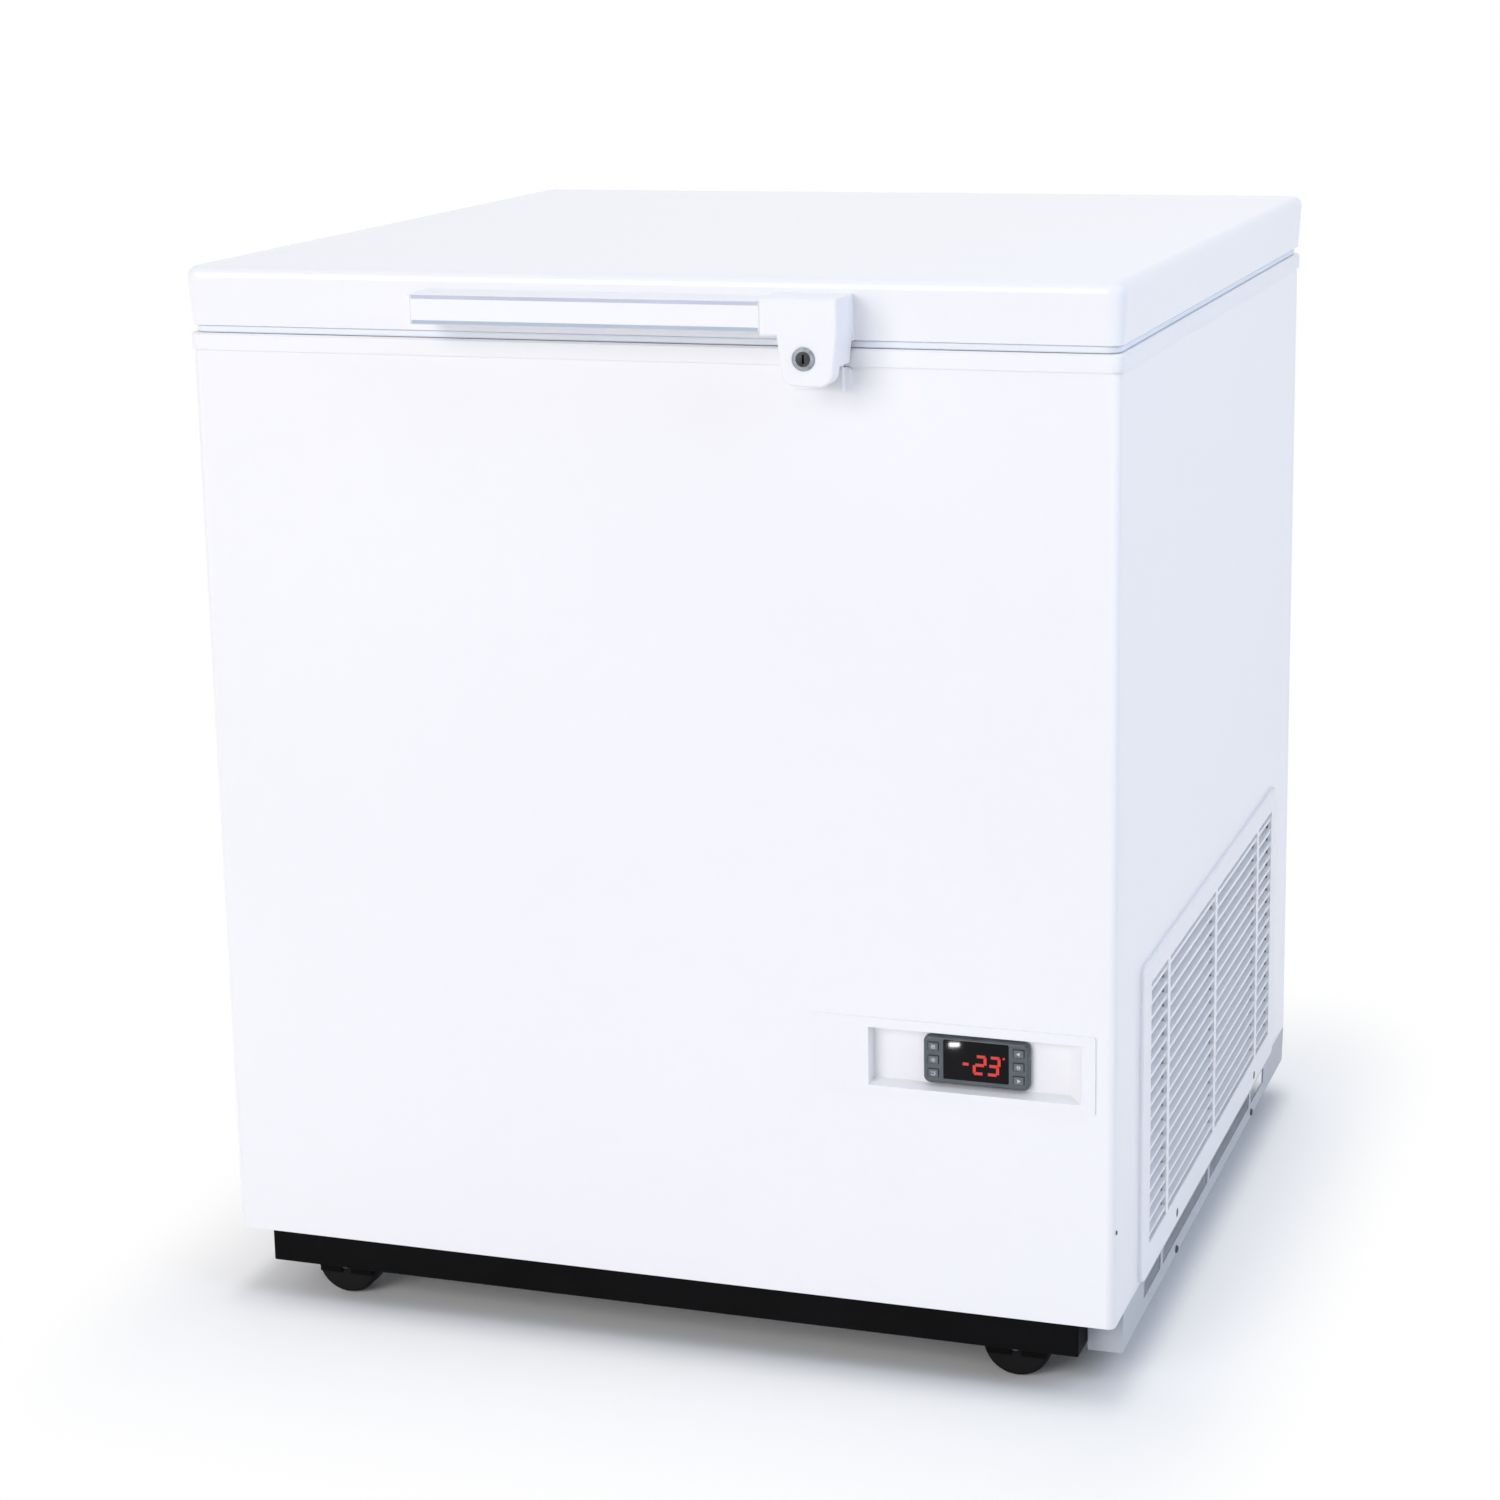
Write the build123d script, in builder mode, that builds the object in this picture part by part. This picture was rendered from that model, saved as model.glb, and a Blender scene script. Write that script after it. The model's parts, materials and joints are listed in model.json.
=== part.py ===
from build123d import *
from math import atan, degrees
import os

# Small chest freezer for laboratory use, millimetres, +Z up, front towards -Y.
# The origin lies on the floor under the middle of the overall box.

# Overall sizes
cabinet_width = 730.0
cabinet_depth = 735.0
overall_height = 845.0
floor_clearance = 32.0
base_height = 27.0
fit_gap = 0.3
running_gap = 0.05
sheet = 1.0
panel_corner_radius = 6.0
panel_return = 14.0
back_flange = 20.0

# Lid
lid_height = 45.0
lid_overhang = 4.0
lid_draft = 3.0
lid_skin = 1.2
lid_corner_radius = 10.0
lid_edge_radius = 8.0
lid_back_bevel = 9.0
lid_panel_sheet = 1.5
lid_plug_drop = 22.0
lid_plug_margin = 12.0
seal_height = 6.0
gasket_inset = 5.0
gasket_back_inset = 13.0
gasket_width = 16.0

# Top frame round the mouth of the tank
frame_plate = 4.0
frame_lip = 1.5
frame_lip_drop = 9.0
mouth_lip_wall = 2.0
mouth_lip_drop = 16.0

# Tank and insulation
wall_insulation = 85.0
floor_insulation = 85.0
step_insulation = 75.0
liner_sheet = 1.0
liner_flange = 18.0
tank_corner_radius = 22.0
coil_diameter = 8.0
coil_passes = 4
coil_corner_share = 0.57
coil_first_rise = 30.0
coil_top_margin = 50.0
coil_end_inset = 70.0
coil_return_offset = 40.0
coil_tail = 25.0
probe_diameter = 6.0
probe_length = 45.0
probe_depth = 180.0

# Machine compartment at the lower right
compartment_width = 235.0
compartment_height = 250.0
tray_sheet = 1.5
tray_wall = 8.0

# Base and rollers
base_inset = 28.0
base_setback = 3.0
base_member = 16.0
skirt_tilt = 1.0
skirt_sheet = 1.5
skirt_setback = 5.0
skirt_front_setback = 33.0
skirt_clearance = 26.0
skirt_slot_height = 14.0
skirt_slot_rise = 13.0
roller_radius = 27.0
roller_width = 22.0
roller_bore = 4.2
roller_inset = 82.0
roller_setback = 38.0
axle_radius = 4.1
axle_end = 2.0
bracket_sheet = 2.0
bracket_side_gap = 1.0
bracket_length = 46.0
bracket_below_axle = 9.0

# Side grille
grille_width = 570.0
grille_height = 256.0
grille_rise = 2.0
grille_proud = 3.4
grille_radius = 10.0
louvre_rows = 18
louvre_pitch = 11.8
louvre_rise = 25.0
louvre_length = 8.0
louvre_sheet = 4.5
louvre_angle = 12.0
louvre_field = 517.0
rib_width = 9.0
rib_offset = 192.0
opening_margin = 5.0
screw_rise = 9.0
screw_back_offset = 190.0
screw_front_offset = 151.0
screw_head_radius = 3.5
screw_head_height = 1.6
screw_shank_radius = 1.8
screw_length = 9.0

# Control panel and controller
bezel_inset = 107.5
bezel_rise = 199.5
bezel_width = 82.0
bezel_height = 37.5
bezel_thickness = 7.0
bezel_radius = 5.0
panel_frame_width = 220.0
panel_frame_height = 61.0
panel_frame_shift = -17.5
panel_flange = 1.5
pocket_width = 165.0
pocket_height = 46.0
pocket_floor_width = 152.0
pocket_floor_shift = 5.5
pocket_floor_height = 41.0
pocket_depth = 11.0
pocket_wall = 1.8
window_width = 50.0
window_height = 28.0
window_thickness = 3.0
window_recess = 0.4
window_gap = 0.2
key_width = 7.6
key_height = 6.0
key_pitch = 10.5
key_column = 33.0
key_proud = 0.8
key_depth = 5.0
controller_width = 71.0
controller_height = 29.0
controller_depth = 58.0

# Handle and lock
handle_shift = 3.5
handle_length = 275.0
handle_reach = 38.0
handle_height = 22.0
handle_rise = 9.5
handle_wall = 3.0
handle_radius = 2.0
handle_cap = 3.0
lock_width = 58.0
lock_top_margin = 2.5
lock_wall = 2.4
lock_front_margin = 1.0
lock_drop = 29.0
lock_tab_shift = 13.0
lock_tab_taper = 4.0
lock_tab_radius = 11.0
lock_back_gap = 4.5
lock_axis_inset = 25.0
lock_axis_drop = 9.0
barrel_radius = 8.5
barrel_length = 15.0
barrel_proud = 1.0
plug_radius = 5.5
plug_tail = 3.0
key_slot_width = 1.6
key_slot_length = 6.5
key_slot_depth = 4.0
cam_length = 17.0
cam_width = 8.0
cam_thickness = 3.0
keeper_plate = 3.0
keeper_width = 46.0
keeper_height = 17.0
keeper_hook_width = 11.0
keeper_hook_sheet = 3.0
keeper_hook_offset = 8.0
keeper_hook_stand = 8.0
keeper_lip_gap = 2.0
keeper_lip_overlap = 2.0

# Hinges
hinge_inset = 135.0
hinge_axis_back = 14.0
hinge_axis_rise = 14.0
hinge_knuckle_radius = 6.0
hinge_knuckle = 14.0
hinge_pin_radius = 3.0
hinge_pin_head = 2.0
hinge_sheet = 2.0
hinge_base_height = 60.0
hinge_base_drop = 14.0
hinge_ear_foot = 24.0
hinge_arm_height = 24.0
hinge_arm_rise = 5.0
spring_wire = 1.5
spring_radius = 4.8
spring_turn_count = 3
spring_length = 20.0

# Refrigeration set
compressor_radius = 80.0
compressor_height = 172.0
compressor_dome = 26.0
compressor_back = 150.0
compressor_shoulder = 8.0
foot_plate_x = 150.0
foot_plate_y = 190.0
foot_plate_sheet = 3.0
grommet_radius = 12.0
grommet_height = 15.0
foot_bolt_inset = 16.0
terminal_width = 60.0
terminal_height = 55.0
terminal_depth = 22.0
pipe_radius = 4.0
tube_side_count = 6
pipe_bend = 12.0
pipe_lane = 16.0
stub_length = 15.0
suction_stub = 10.0
condenser_front = 130.0
condenser_clearance = 48.0
condenser_length = 158.0
condenser_lead = 4.0
condenser_depth = 40.0
condenser_passes = 4
condenser_pitch = 35.0
condenser_rise = 40.0
condenser_fin_count = 5
fin_sheet = 0.6
fin_margin = 18.0
drier_radius = 9.0
drier_length = 100.0
drier_start = 60.0
capillary_radius = 2.0
capillary_drop = 14.0
capillary_bend = 10.0
shroud_gap = 12.0
shroud_sheet = 2.0
shroud_width = 186.0
shroud_height = 184.0
shroud_depth = 22.0
shroud_post = 6.0
fan_radius = 74.0
fan_tip_gap = 4.0
fan_hub_radius = 20.0
fan_hub_length = 16.0
fan_blade_count = 5
fan_blade_sheet = 1.8
fan_blade_chord = 32.0
fan_blade_angle = 32.0
motor_radius = 26.0
motor_length = 44.0
motor_shaft_radius = 3.0
motor_arm = 14.0
gland_inset = 62.0
gland_rise = 48.0
gland_flange_radius = 13.0
gland_nose_radius = 10.0
gland_bore_radius = 4.5
gland_flange = 5.0
gland_nose = 9.0
gland_thread_radius = 9.0
gland_thread = 12.0
vent_slot_width = 46.0
vent_slot_height = 5.0
vent_slot_pitch = 14.0
vent_slot_rows = 6
vent_slot_columns = 3

# Places worked out from the sizes above
hinge_reach = hinge_axis_back + hinge_knuckle_radius
overall_depth = handle_reach + lock_front_margin + barrel_proud + lid_overhang + cabinet_depth + hinge_reach
front_y = -overall_depth / 2 + handle_reach + lock_front_margin + barrel_proud + lid_overhang
back_y = front_y + cabinet_depth
mid_y = (front_y + back_y) / 2
left_x = -cabinet_width / 2
right_x = cabinet_width / 2
panel_bottom = floor_clearance + base_height
lid_bottom = overall_height - lid_height
lid_draft_angle = degrees(atan(lid_draft / lid_height))
rim_top = lid_bottom - seal_height
panel_top = rim_top - frame_plate
panel_height = panel_top - panel_bottom
back_inside = back_y - 2 * sheet
inside_width = cabinet_width - 2 * sheet
inside_depth = back_inside - front_y - sheet
inside_mid_y = (front_y + sheet + back_inside) / 2

compartment_x = right_x - compartment_width
compartment_top = panel_bottom + compartment_height
tank_width = cabinet_width - 2 * wall_insulation
tank_depth = cabinet_depth - 2 * wall_insulation
tank_left = -tank_width / 2
tank_floor = panel_bottom + floor_insulation
step_floor = compartment_top + step_insulation
lower_width = compartment_x - step_insulation - tank_left
lower_mid_x = tank_left + lower_width / 2
coil_radius = coil_diameter / 2
jacket = coil_diameter + 2 * fit_gap

tray_floor = panel_bottom + tray_sheet
roller_x = right_x - roller_inset
grille_bottom = panel_bottom + grille_rise
grille_mid_z = grille_bottom + grille_height / 2
louvre_height = louvre_rows * louvre_pitch
louvre_mid_z = grille_bottom + louvre_rise + louvre_height / 2
louvre_x = right_x + grille_proud - louvre_length / 3 - louvre_sheet / 2
column_wide = rib_offset - rib_width
column_narrow = louvre_field / 2 - rib_offset - rib_width / 2
column_narrow_y = louvre_field / 2 - column_narrow / 2
grille_columns = [
    (-column_narrow_y, column_narrow),
    (-rib_offset / 2, column_wide),
    (rib_offset / 2, column_wide),
    (column_narrow_y, column_narrow),
]
screw_z = grille_bottom + screw_rise
screw_spots = [(mid_y - screw_front_offset, screw_z), (mid_y + screw_back_offset, screw_z)]

bezel_x = right_x - bezel_inset
bezel_z = panel_bottom + bezel_rise
pocket_floor_y = front_y + pocket_depth
bezel_front_y = pocket_floor_y - bezel_thickness
key_spots = {
    "key_set": (-key_column, key_pitch),
    "key_light": (-key_column, 0),
    "key_power": (-key_column, -key_pitch),
    "key_up": (key_column, key_pitch),
    "key_defrost": (key_column, 0),
    "key_down": (key_column, -key_pitch),
}

handle_bottom = lid_bottom + handle_rise
handle_top = handle_bottom + handle_height
handle_front = front_y - lid_overhang - handle_reach
handle_left_x = handle_shift - (handle_length + lock_width) / 2
handle_right_x = handle_left_x + handle_length
lock_front = handle_front - lock_front_margin
lock_back = front_y - lock_back_gap
lock_top = handle_top + lock_top_margin
lock_tab_bottom = lid_bottom - lock_drop
lock_right_x = handle_right_x + lock_width
lock_tab_x = handle_right_x + lock_tab_shift
lock_axis_x = lock_right_x - lock_axis_inset
lock_axis_z = lid_bottom - lock_axis_drop
plug_back = lock_front - barrel_proud + barrel_length + plug_tail
cam_back = plug_back + cam_thickness
keeper_top = rim_top - frame_plate - frame_lip_drop - fit_gap
keeper_hook_x = lock_axis_x + keeper_hook_offset
keeper_lip_z = lock_axis_z + cam_width / 2 + keeper_lip_gap
keeper_lip_top = keeper_lip_z + keeper_hook_sheet
keeper_lip_front = plug_back - keeper_lip_overlap
keeper_riser_front = front_y - keeper_hook_stand - keeper_hook_sheet

hinge_x = right_x - hinge_inset
hinge_axis_y = back_y + hinge_axis_back
hinge_axis_z = rim_top + hinge_axis_rise
hinge_width = 3 * hinge_knuckle + spring_length + 3 * fit_gap
hinge_base_top = rim_top - frame_plate - hinge_base_drop
hinge_arm_bottom = hinge_axis_z + hinge_arm_rise
hinge_arm_top = hinge_arm_bottom + hinge_arm_height

compartment_mid_x = (compartment_x + right_x) / 2
compressor_y = back_y - compressor_back
foot_plate_z = tray_floor + grommet_height
compressor_floor = foot_plate_z + foot_plate_sheet
compressor_top = compressor_floor + compressor_height
pipe_x = compartment_x + pipe_lane
condenser_y = front_y + condenser_front
condenser_left = compartment_x + condenser_clearance
condenser_right = condenser_left + condenser_length
condenser_low = tray_floor + condenser_rise
condenser_high = condenser_low + (condenser_passes - 1) * condenser_pitch
shroud_y = condenser_y + condenser_depth / 2 + shroud_gap
fan_x = condenser_left + condenser_length / 2
fan_z = tray_floor + shroud_height / 2
fan_y = shroud_y + shroud_depth / 2
motor_y = shroud_y + shroud_depth + shroud_sheet
coil_x = tank_width / 2 + liner_sheet + fit_gap + coil_radius
coil_front_y = mid_y - tank_depth / 2 - liner_sheet - fit_gap - coil_radius
coil_back_y = mid_y + tank_depth / 2 - coil_end_inset
coil_return_y = coil_back_y + coil_return_offset
coil_corner_cut = coil_corner_share * (tank_corner_radius + liner_sheet + fit_gap + coil_radius)
coil_end_z = compartment_top - coil_tail
coil_low_z = step_floor + coil_first_rise
coil_pitch = (panel_top - coil_top_margin - coil_low_z) / (coil_passes - 1)
discharge_x = compartment_mid_x - compressor_radius / 3
suction_low = compressor_top + suction_stub

os.makedirs("parts", exist_ok=True)


# Sketch planes: level at a height, facing the viewer at a depth, facing right at a width
def level(z):
    return Plane.XY.offset(z)


def facing_front(y):
    return Plane.XZ.offset(-y)


def facing_right(x):
    return Plane.YZ.offset(x)


# The lid's front wall leans in towards the bottom, so its face depends on the height
def lid_face_y(z):
    return front_y - lid_overhang + lid_draft * (overall_height - z) / lid_height


def lid_back_y(z):
    return back_y + lid_overhang - lid_draft * (overall_height - z) / lid_height


# One strip of the folded cabinet wall, seen from above
def wall_strip(x, y, width, depth):
    with Locations((0, mid_y)):
        RectangleRounded(cabinet_width, cabinet_depth, panel_corner_radius)
        RectangleRounded(
            cabinet_width - 2 * sheet,
            cabinet_depth - 2 * sheet,
            panel_corner_radius - sheet,
            mode=Mode.SUBTRACT,
        )
    with Locations((x, y)):
        Rectangle(width, depth, align=(Align.MIN, Align.MIN), mode=Mode.INTERSECT)


# A rounded rectangular ring round the middle of the cabinet, given by its inner outline
def ring_outside(width, depth, radius, wall):
    with Locations((0, mid_y)):
        RectangleRounded(width + 2 * wall, depth + 2 * wall, radius + wall)
        RectangleRounded(width, depth, radius, mode=Mode.SUBTRACT)


# The tank's two stacked sections: the wide one above the step and the narrow one beside it
tank_sections = [(0, tank_width, step_floor), (lower_mid_x, lower_width, tank_floor)]


# A tube's route with its corners cut across, so that each bend has only a few faces
def bent_route(corners, cut):
    route = [Vector(*corners[0])]
    for before, corner, after in zip(corners, corners[1:], corners[2:]):
        for neighbour in (before, after):
            way = Vector(*neighbour) - Vector(*corner)
            route.append(Vector(*corner) + way.normalized() * cut)
    return [*route, Vector(*corners[-1])]


# One tank section seen from above, grown outwards by a wall
def tank_outline(x, width, grow):
    with Locations((x, mid_y)):
        RectangleRounded(width + 2 * grow, tank_depth + 2 * grow, tank_corner_radius + grow)


# Front panel: folded sheet with short returns and the control panel cut-out
with BuildPart() as front_panel:
    with BuildSketch(level(panel_bottom)):
        wall_strip(left_x, front_y, cabinet_width, panel_return)
    extrude(amount=panel_height)
    with BuildSketch(facing_front(front_y)):
        with Locations((bezel_x, bezel_z)):
            Rectangle(
                pocket_width + 2 * (pocket_wall + fit_gap),
                pocket_height + 2 * (pocket_wall + fit_gap),
            )
    extrude(amount=-2 * sheet, mode=Mode.SUBTRACT)
front_panel.part.label = "front_panel"
export_step(front_panel.part, "parts/front_panel.step")

# Left side panel, flanged round the back corner
with BuildPart() as left_side_panel:
    with BuildSketch(level(panel_bottom)):
        wall_strip(left_x, front_y + panel_return, back_flange, cabinet_depth - panel_return)
    extrude(amount=panel_height)
left_side_panel.part.label = "left_side_panel"
export_step(left_side_panel.part, "parts/left_side_panel.step")

# Right side panel, open behind the grille
with BuildPart() as right_side_panel:
    with BuildSketch(level(panel_bottom)):
        wall_strip(right_x - back_flange, front_y + panel_return, back_flange, cabinet_depth - panel_return)
    extrude(amount=panel_height)
    with BuildSketch(facing_right(right_x)):
        with Locations((mid_y, louvre_mid_z)):
            Rectangle(louvre_field + 2 * opening_margin, louvre_height + 2 * opening_margin)
        with Locations(*screw_spots):
            Circle(screw_shank_radius + fit_gap)
    extrude(amount=-2 * sheet, mode=Mode.SUBTRACT)
right_side_panel.part.label = "right_side_panel"
export_step(right_side_panel.part, "parts/right_side_panel.step")

# Back panel, inside the side flanges, with air slots behind the machine compartment
with BuildPart() as back_panel:
    with BuildSketch(facing_front(back_inside)):
        with Locations((0, panel_bottom)):
            Rectangle(
                cabinet_width - 2 * (panel_corner_radius + fit_gap),
                panel_height,
                align=(Align.CENTER, Align.MIN),
            )
        with Locations((compartment_mid_x, compartment_top - compartment_height / 3)):
            with GridLocations(
                vent_slot_width + vent_slot_pitch, vent_slot_pitch, vent_slot_columns, vent_slot_rows
            ):
                Rectangle(vent_slot_width, vent_slot_height, mode=Mode.SUBTRACT)
        with Locations((right_x - gland_inset, panel_bottom + gland_rise)):
            Circle(gland_thread_radius + fit_gap, mode=Mode.SUBTRACT)
    extrude(amount=-sheet)
back_panel.part.label = "back_panel"
export_step(back_panel.part, "parts/back_panel.step")

# Bottom pan under the insulation, left of the machine compartment
with BuildPart() as bottom_pan:
    with BuildSketch(level(panel_bottom)) as pan_outline:
        with Locations((left_x + sheet, inside_mid_y)):
            Rectangle(compartment_x - left_x - 2 * sheet, inside_depth, align=(Align.MIN, Align.CENTER))
        fillet(pan_outline.vertices().group_by(Axis.X)[0], panel_corner_radius)
    extrude(amount=sheet)
bottom_pan.part.label = "bottom_pan"
export_step(bottom_pan.part, "parts/bottom_pan.step")

# Insulation: fills the cabinet between the panels, the tank and the machine compartment
with BuildPart() as insulation_foam:
    with BuildSketch(level(panel_bottom + sheet)):
        with Locations((0, inside_mid_y)):
            RectangleRounded(inside_width, inside_depth, panel_corner_radius)
    extrude(amount=panel_height - sheet - liner_sheet)
    with BuildSketch(facing_front(back_y)):
        with Locations((compartment_x - sheet, panel_bottom)):
            Rectangle(
                compartment_width + sheet,
                compartment_height + sheet,
                align=(Align.MIN, Align.MIN),
            )
    extrude(amount=cabinet_depth, mode=Mode.SUBTRACT)
    for section_x, section_width, section_floor in tank_sections:
        with BuildSketch(level(section_floor - liner_sheet - jacket)):
            with Locations((section_x, mid_y)):
                RectangleRounded(
                    section_width + 2 * (liner_sheet + jacket),
                    tank_depth + 2 * (liner_sheet + jacket),
                    tank_corner_radius,
                )
        extrude(amount=panel_top - section_floor + liner_sheet + jacket, mode=Mode.SUBTRACT)
    with BuildSketch(level(compartment_top)):
        with Locations((coil_x, coil_back_y), (coil_x, coil_return_y)):
            Circle(coil_radius + fit_gap)
    extrude(amount=step_insulation, mode=Mode.SUBTRACT)
insulation_foam.part.label = "insulation_foam"
export_step(insulation_foam.part, "parts/insulation_foam.step")

# Tank liner: stepped over the machine compartment, with a flange that hangs on the rim
with BuildPart() as tank_liner:
    for section_x, section_width, section_floor in tank_sections:
        with BuildSketch(level(section_floor - liner_sheet)):
            tank_outline(section_x, section_width, liner_sheet)
        extrude(amount=panel_top - section_floor + liner_sheet)
    with BuildSketch(level(panel_top)):
        with Locations((0, mid_y)):
            RectangleRounded(
                tank_width + 2 * liner_flange,
                tank_depth + 2 * liner_flange,
                tank_corner_radius + liner_flange,
            )
    extrude(amount=-liner_sheet)
    for section_x, section_width, section_floor in tank_sections:
        with BuildSketch(level(section_floor)):
            tank_outline(section_x, section_width, 0)
        extrude(amount=panel_top - section_floor, mode=Mode.SUBTRACT)
tank_liner.part.label = "tank_liner"
export_step(tank_liner.part, "parts/tank_liner.step")

# Evaporator coil: runs back and forth round three walls of the tank, both ends below
coil_points = [(coil_x, coil_back_y, coil_end_z)]
for turn in range(coil_passes):
    turn_z = coil_low_z + turn * coil_pitch
    going_left = turn % 2 == 0
    from_x = coil_x if going_left else -coil_x
    first_y = coil_back_y
    last_y = coil_return_y if turn == coil_passes - 1 else coil_back_y
    coil_points += [
        (from_x, first_y, turn_z),
        (from_x, coil_front_y, turn_z),
        (-from_x, coil_front_y, turn_z),
        (-from_x, last_y, turn_z),
    ]
coil_points.append((coil_x, coil_return_y, coil_end_z))
with BuildPart() as evaporator_coil:
    with BuildLine():
        coil_path = Polyline(*bent_route(coil_points, coil_corner_cut))
    with BuildSketch(level(coil_end_z)):
        with Locations((coil_x, coil_back_y)):
            RegularPolygon(coil_radius, tube_side_count)
    sweep(path=coil_path, transition=Transition.RIGHT)
evaporator_coil.part.label = "evaporator_coil"
export_step(evaporator_coil.part, "parts/evaporator_coil.step")

# Temperature probe against the back wall of the tank
with BuildPart() as temperature_probe:
    with BuildSketch(level(panel_top - probe_depth)):
        with Locations((0, mid_y + tank_depth / 2 + liner_sheet + fit_gap + probe_diameter / 2)):
            Circle(probe_diameter / 2)
    extrude(amount=probe_length)
temperature_probe.part.label = "temperature_probe"
export_step(temperature_probe.part, "parts/temperature_probe.step")

# Top frame: moulded ring over the rim, with lips over the panels and into the tank
mouth_width = tank_width - 2 * (mouth_lip_wall + fit_gap)
mouth_depth = tank_depth - 2 * (mouth_lip_wall + fit_gap)
mouth_radius = tank_corner_radius - mouth_lip_wall - fit_gap
with BuildPart() as top_frame:
    with BuildSketch(level(panel_top)):
        with Locations((0, mid_y)):
            RectangleRounded(
                cabinet_width + 2 * (fit_gap + frame_lip),
                cabinet_depth + 2 * (fit_gap + frame_lip),
                panel_corner_radius + fit_gap + frame_lip,
            )
            RectangleRounded(mouth_width, mouth_depth, mouth_radius, mode=Mode.SUBTRACT)
    extrude(amount=frame_plate)
    rim_edges = top_frame.faces().sort_by(Axis.Z)[-1].outer_wire().edges()
    chamfer(rim_edges, frame_lip)
    with BuildSketch(level(panel_top)):
        ring_outside(
            cabinet_width + 2 * fit_gap,
            cabinet_depth + 2 * fit_gap,
            panel_corner_radius + fit_gap,
            frame_lip,
        )
    extrude(amount=-frame_lip_drop)
    with BuildSketch(level(panel_top)):
        ring_outside(mouth_width, mouth_depth, mouth_radius, mouth_lip_wall)
    extrude(amount=-mouth_lip_drop)
top_frame.part.label = "top_frame"
export_step(top_frame.part, "parts/top_frame.step")

# Partition between the insulation and the machine compartment
with BuildPart() as compartment_partition:
    with BuildSketch(facing_front(back_y - panel_corner_radius)):
        with Locations((compartment_x, panel_bottom)):
            Rectangle(sheet, compartment_height + sheet, align=(Align.MAX, Align.MIN))
        with Locations((compartment_x, compartment_top)):
            Rectangle(compartment_width - sheet, sheet, align=(Align.MIN, Align.MIN))
    extrude(amount=cabinet_depth - 2 * panel_corner_radius)
    with BuildSketch(level(compartment_top)):
        with Locations((coil_x, coil_back_y), (coil_x, coil_return_y)):
            Circle(coil_radius + fit_gap)
    extrude(amount=sheet, mode=Mode.SUBTRACT)
compartment_partition.part.label = "compartment_partition"
export_step(compartment_partition.part, "parts/compartment_partition.step")

# Machine tray: shallow folded floor of the compartment, resting on the base frame
tray_length = cabinet_depth - 2 * panel_corner_radius
tray_width = compartment_width - sheet
tray_mid_x = compartment_x + tray_width / 2
with BuildPart() as machine_tray:
    with BuildSketch(level(panel_bottom)):
        with Locations((tray_mid_x, mid_y)):
            Rectangle(tray_width, tray_length)
    extrude(amount=tray_wall)
    with BuildSketch(level(tray_floor)):
        with Locations((tray_mid_x, mid_y)):
            Rectangle(tray_width - 2 * tray_sheet, tray_length - 2 * tray_sheet)
    extrude(amount=tray_wall, mode=Mode.SUBTRACT)
machine_tray.part.label = "machine_tray"
export_step(machine_tray.part, "parts/machine_tray.step")

# Base frame: black welded ring of channel under the cabinet
frame_outer_x = cabinet_width - 2 * base_inset
frame_outer_y = cabinet_depth - 2 * base_setback
with BuildPart() as base_frame:
    with BuildSketch(level(floor_clearance)):
        with Locations((0, mid_y)):
            Rectangle(frame_outer_x, frame_outer_y)
            Rectangle(frame_outer_x - 2 * base_member, frame_outer_y - 2 * base_member, mode=Mode.SUBTRACT)
    extrude(amount=base_height)
base_frame.part.label = "base_frame"
export_step(base_frame.part, "parts/base_frame.step")

# Vent skirt: apron below the grille, back from the front, open underneath, slotted like the grille
skirt_length = cabinet_depth - skirt_setback - skirt_front_setback
skirt_back = back_y - skirt_setback
with BuildPart() as vent_skirt:
    with BuildSketch(facing_front(skirt_back)):
        with BuildLine():
            Polyline(
                (right_x - base_inset, panel_bottom),
                (right_x, panel_bottom),
                (right_x - skirt_tilt, skirt_clearance),
                (right_x - base_inset, skirt_clearance),
                close=True,
            )
        make_face()
    extrude(amount=skirt_length)
    with BuildSketch(facing_front(skirt_back - skirt_sheet)):
        with BuildLine():
            Polyline(
                (right_x - base_inset + skirt_sheet, panel_bottom - skirt_sheet),
                (right_x - skirt_sheet, panel_bottom - skirt_sheet),
                (right_x - skirt_tilt - skirt_sheet, skirt_clearance),
                (right_x - base_inset + skirt_sheet, skirt_clearance),
                close=True,
            )
        make_face()
    extrude(amount=skirt_length - 2 * skirt_sheet, mode=Mode.SUBTRACT)
    with BuildSketch(facing_right(right_x)):
        for column_y, column_width in grille_columns:
            with Locations((mid_y + column_y, skirt_clearance + skirt_slot_rise)):
                Rectangle(column_width, skirt_slot_height, align=(Align.CENTER, Align.MIN))
    extrude(amount=-base_inset / 2, mode=Mode.SUBTRACT)
vent_skirt.part.label = "vent_skirt"
export_step(vent_skirt.part, "parts/vent_skirt.step")

# Rollers: four solid wheels that turn about axles lying front to back
roller_spots = {
    "roller_front_left": (-roller_x, front_y + roller_setback),
    "roller_front_right": (roller_x, front_y + roller_setback),
    "roller_rear_left": (-roller_x, back_y - roller_setback),
    "roller_rear_right": (roller_x, back_y - roller_setback),
}
for roller_name, (spot_x, spot_y) in roller_spots.items():
    with BuildPart() as roller:
        with BuildSketch(facing_front(spot_y)):
            with Locations((spot_x, roller_radius)):
                Circle(roller_radius)
                Circle(roller_bore, mode=Mode.SUBTRACT)
        extrude(amount=roller_width / 2, both=True)
    roller.part.label = roller_name
    export_step(roller.part, f"parts/{roller_name}.step")

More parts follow.
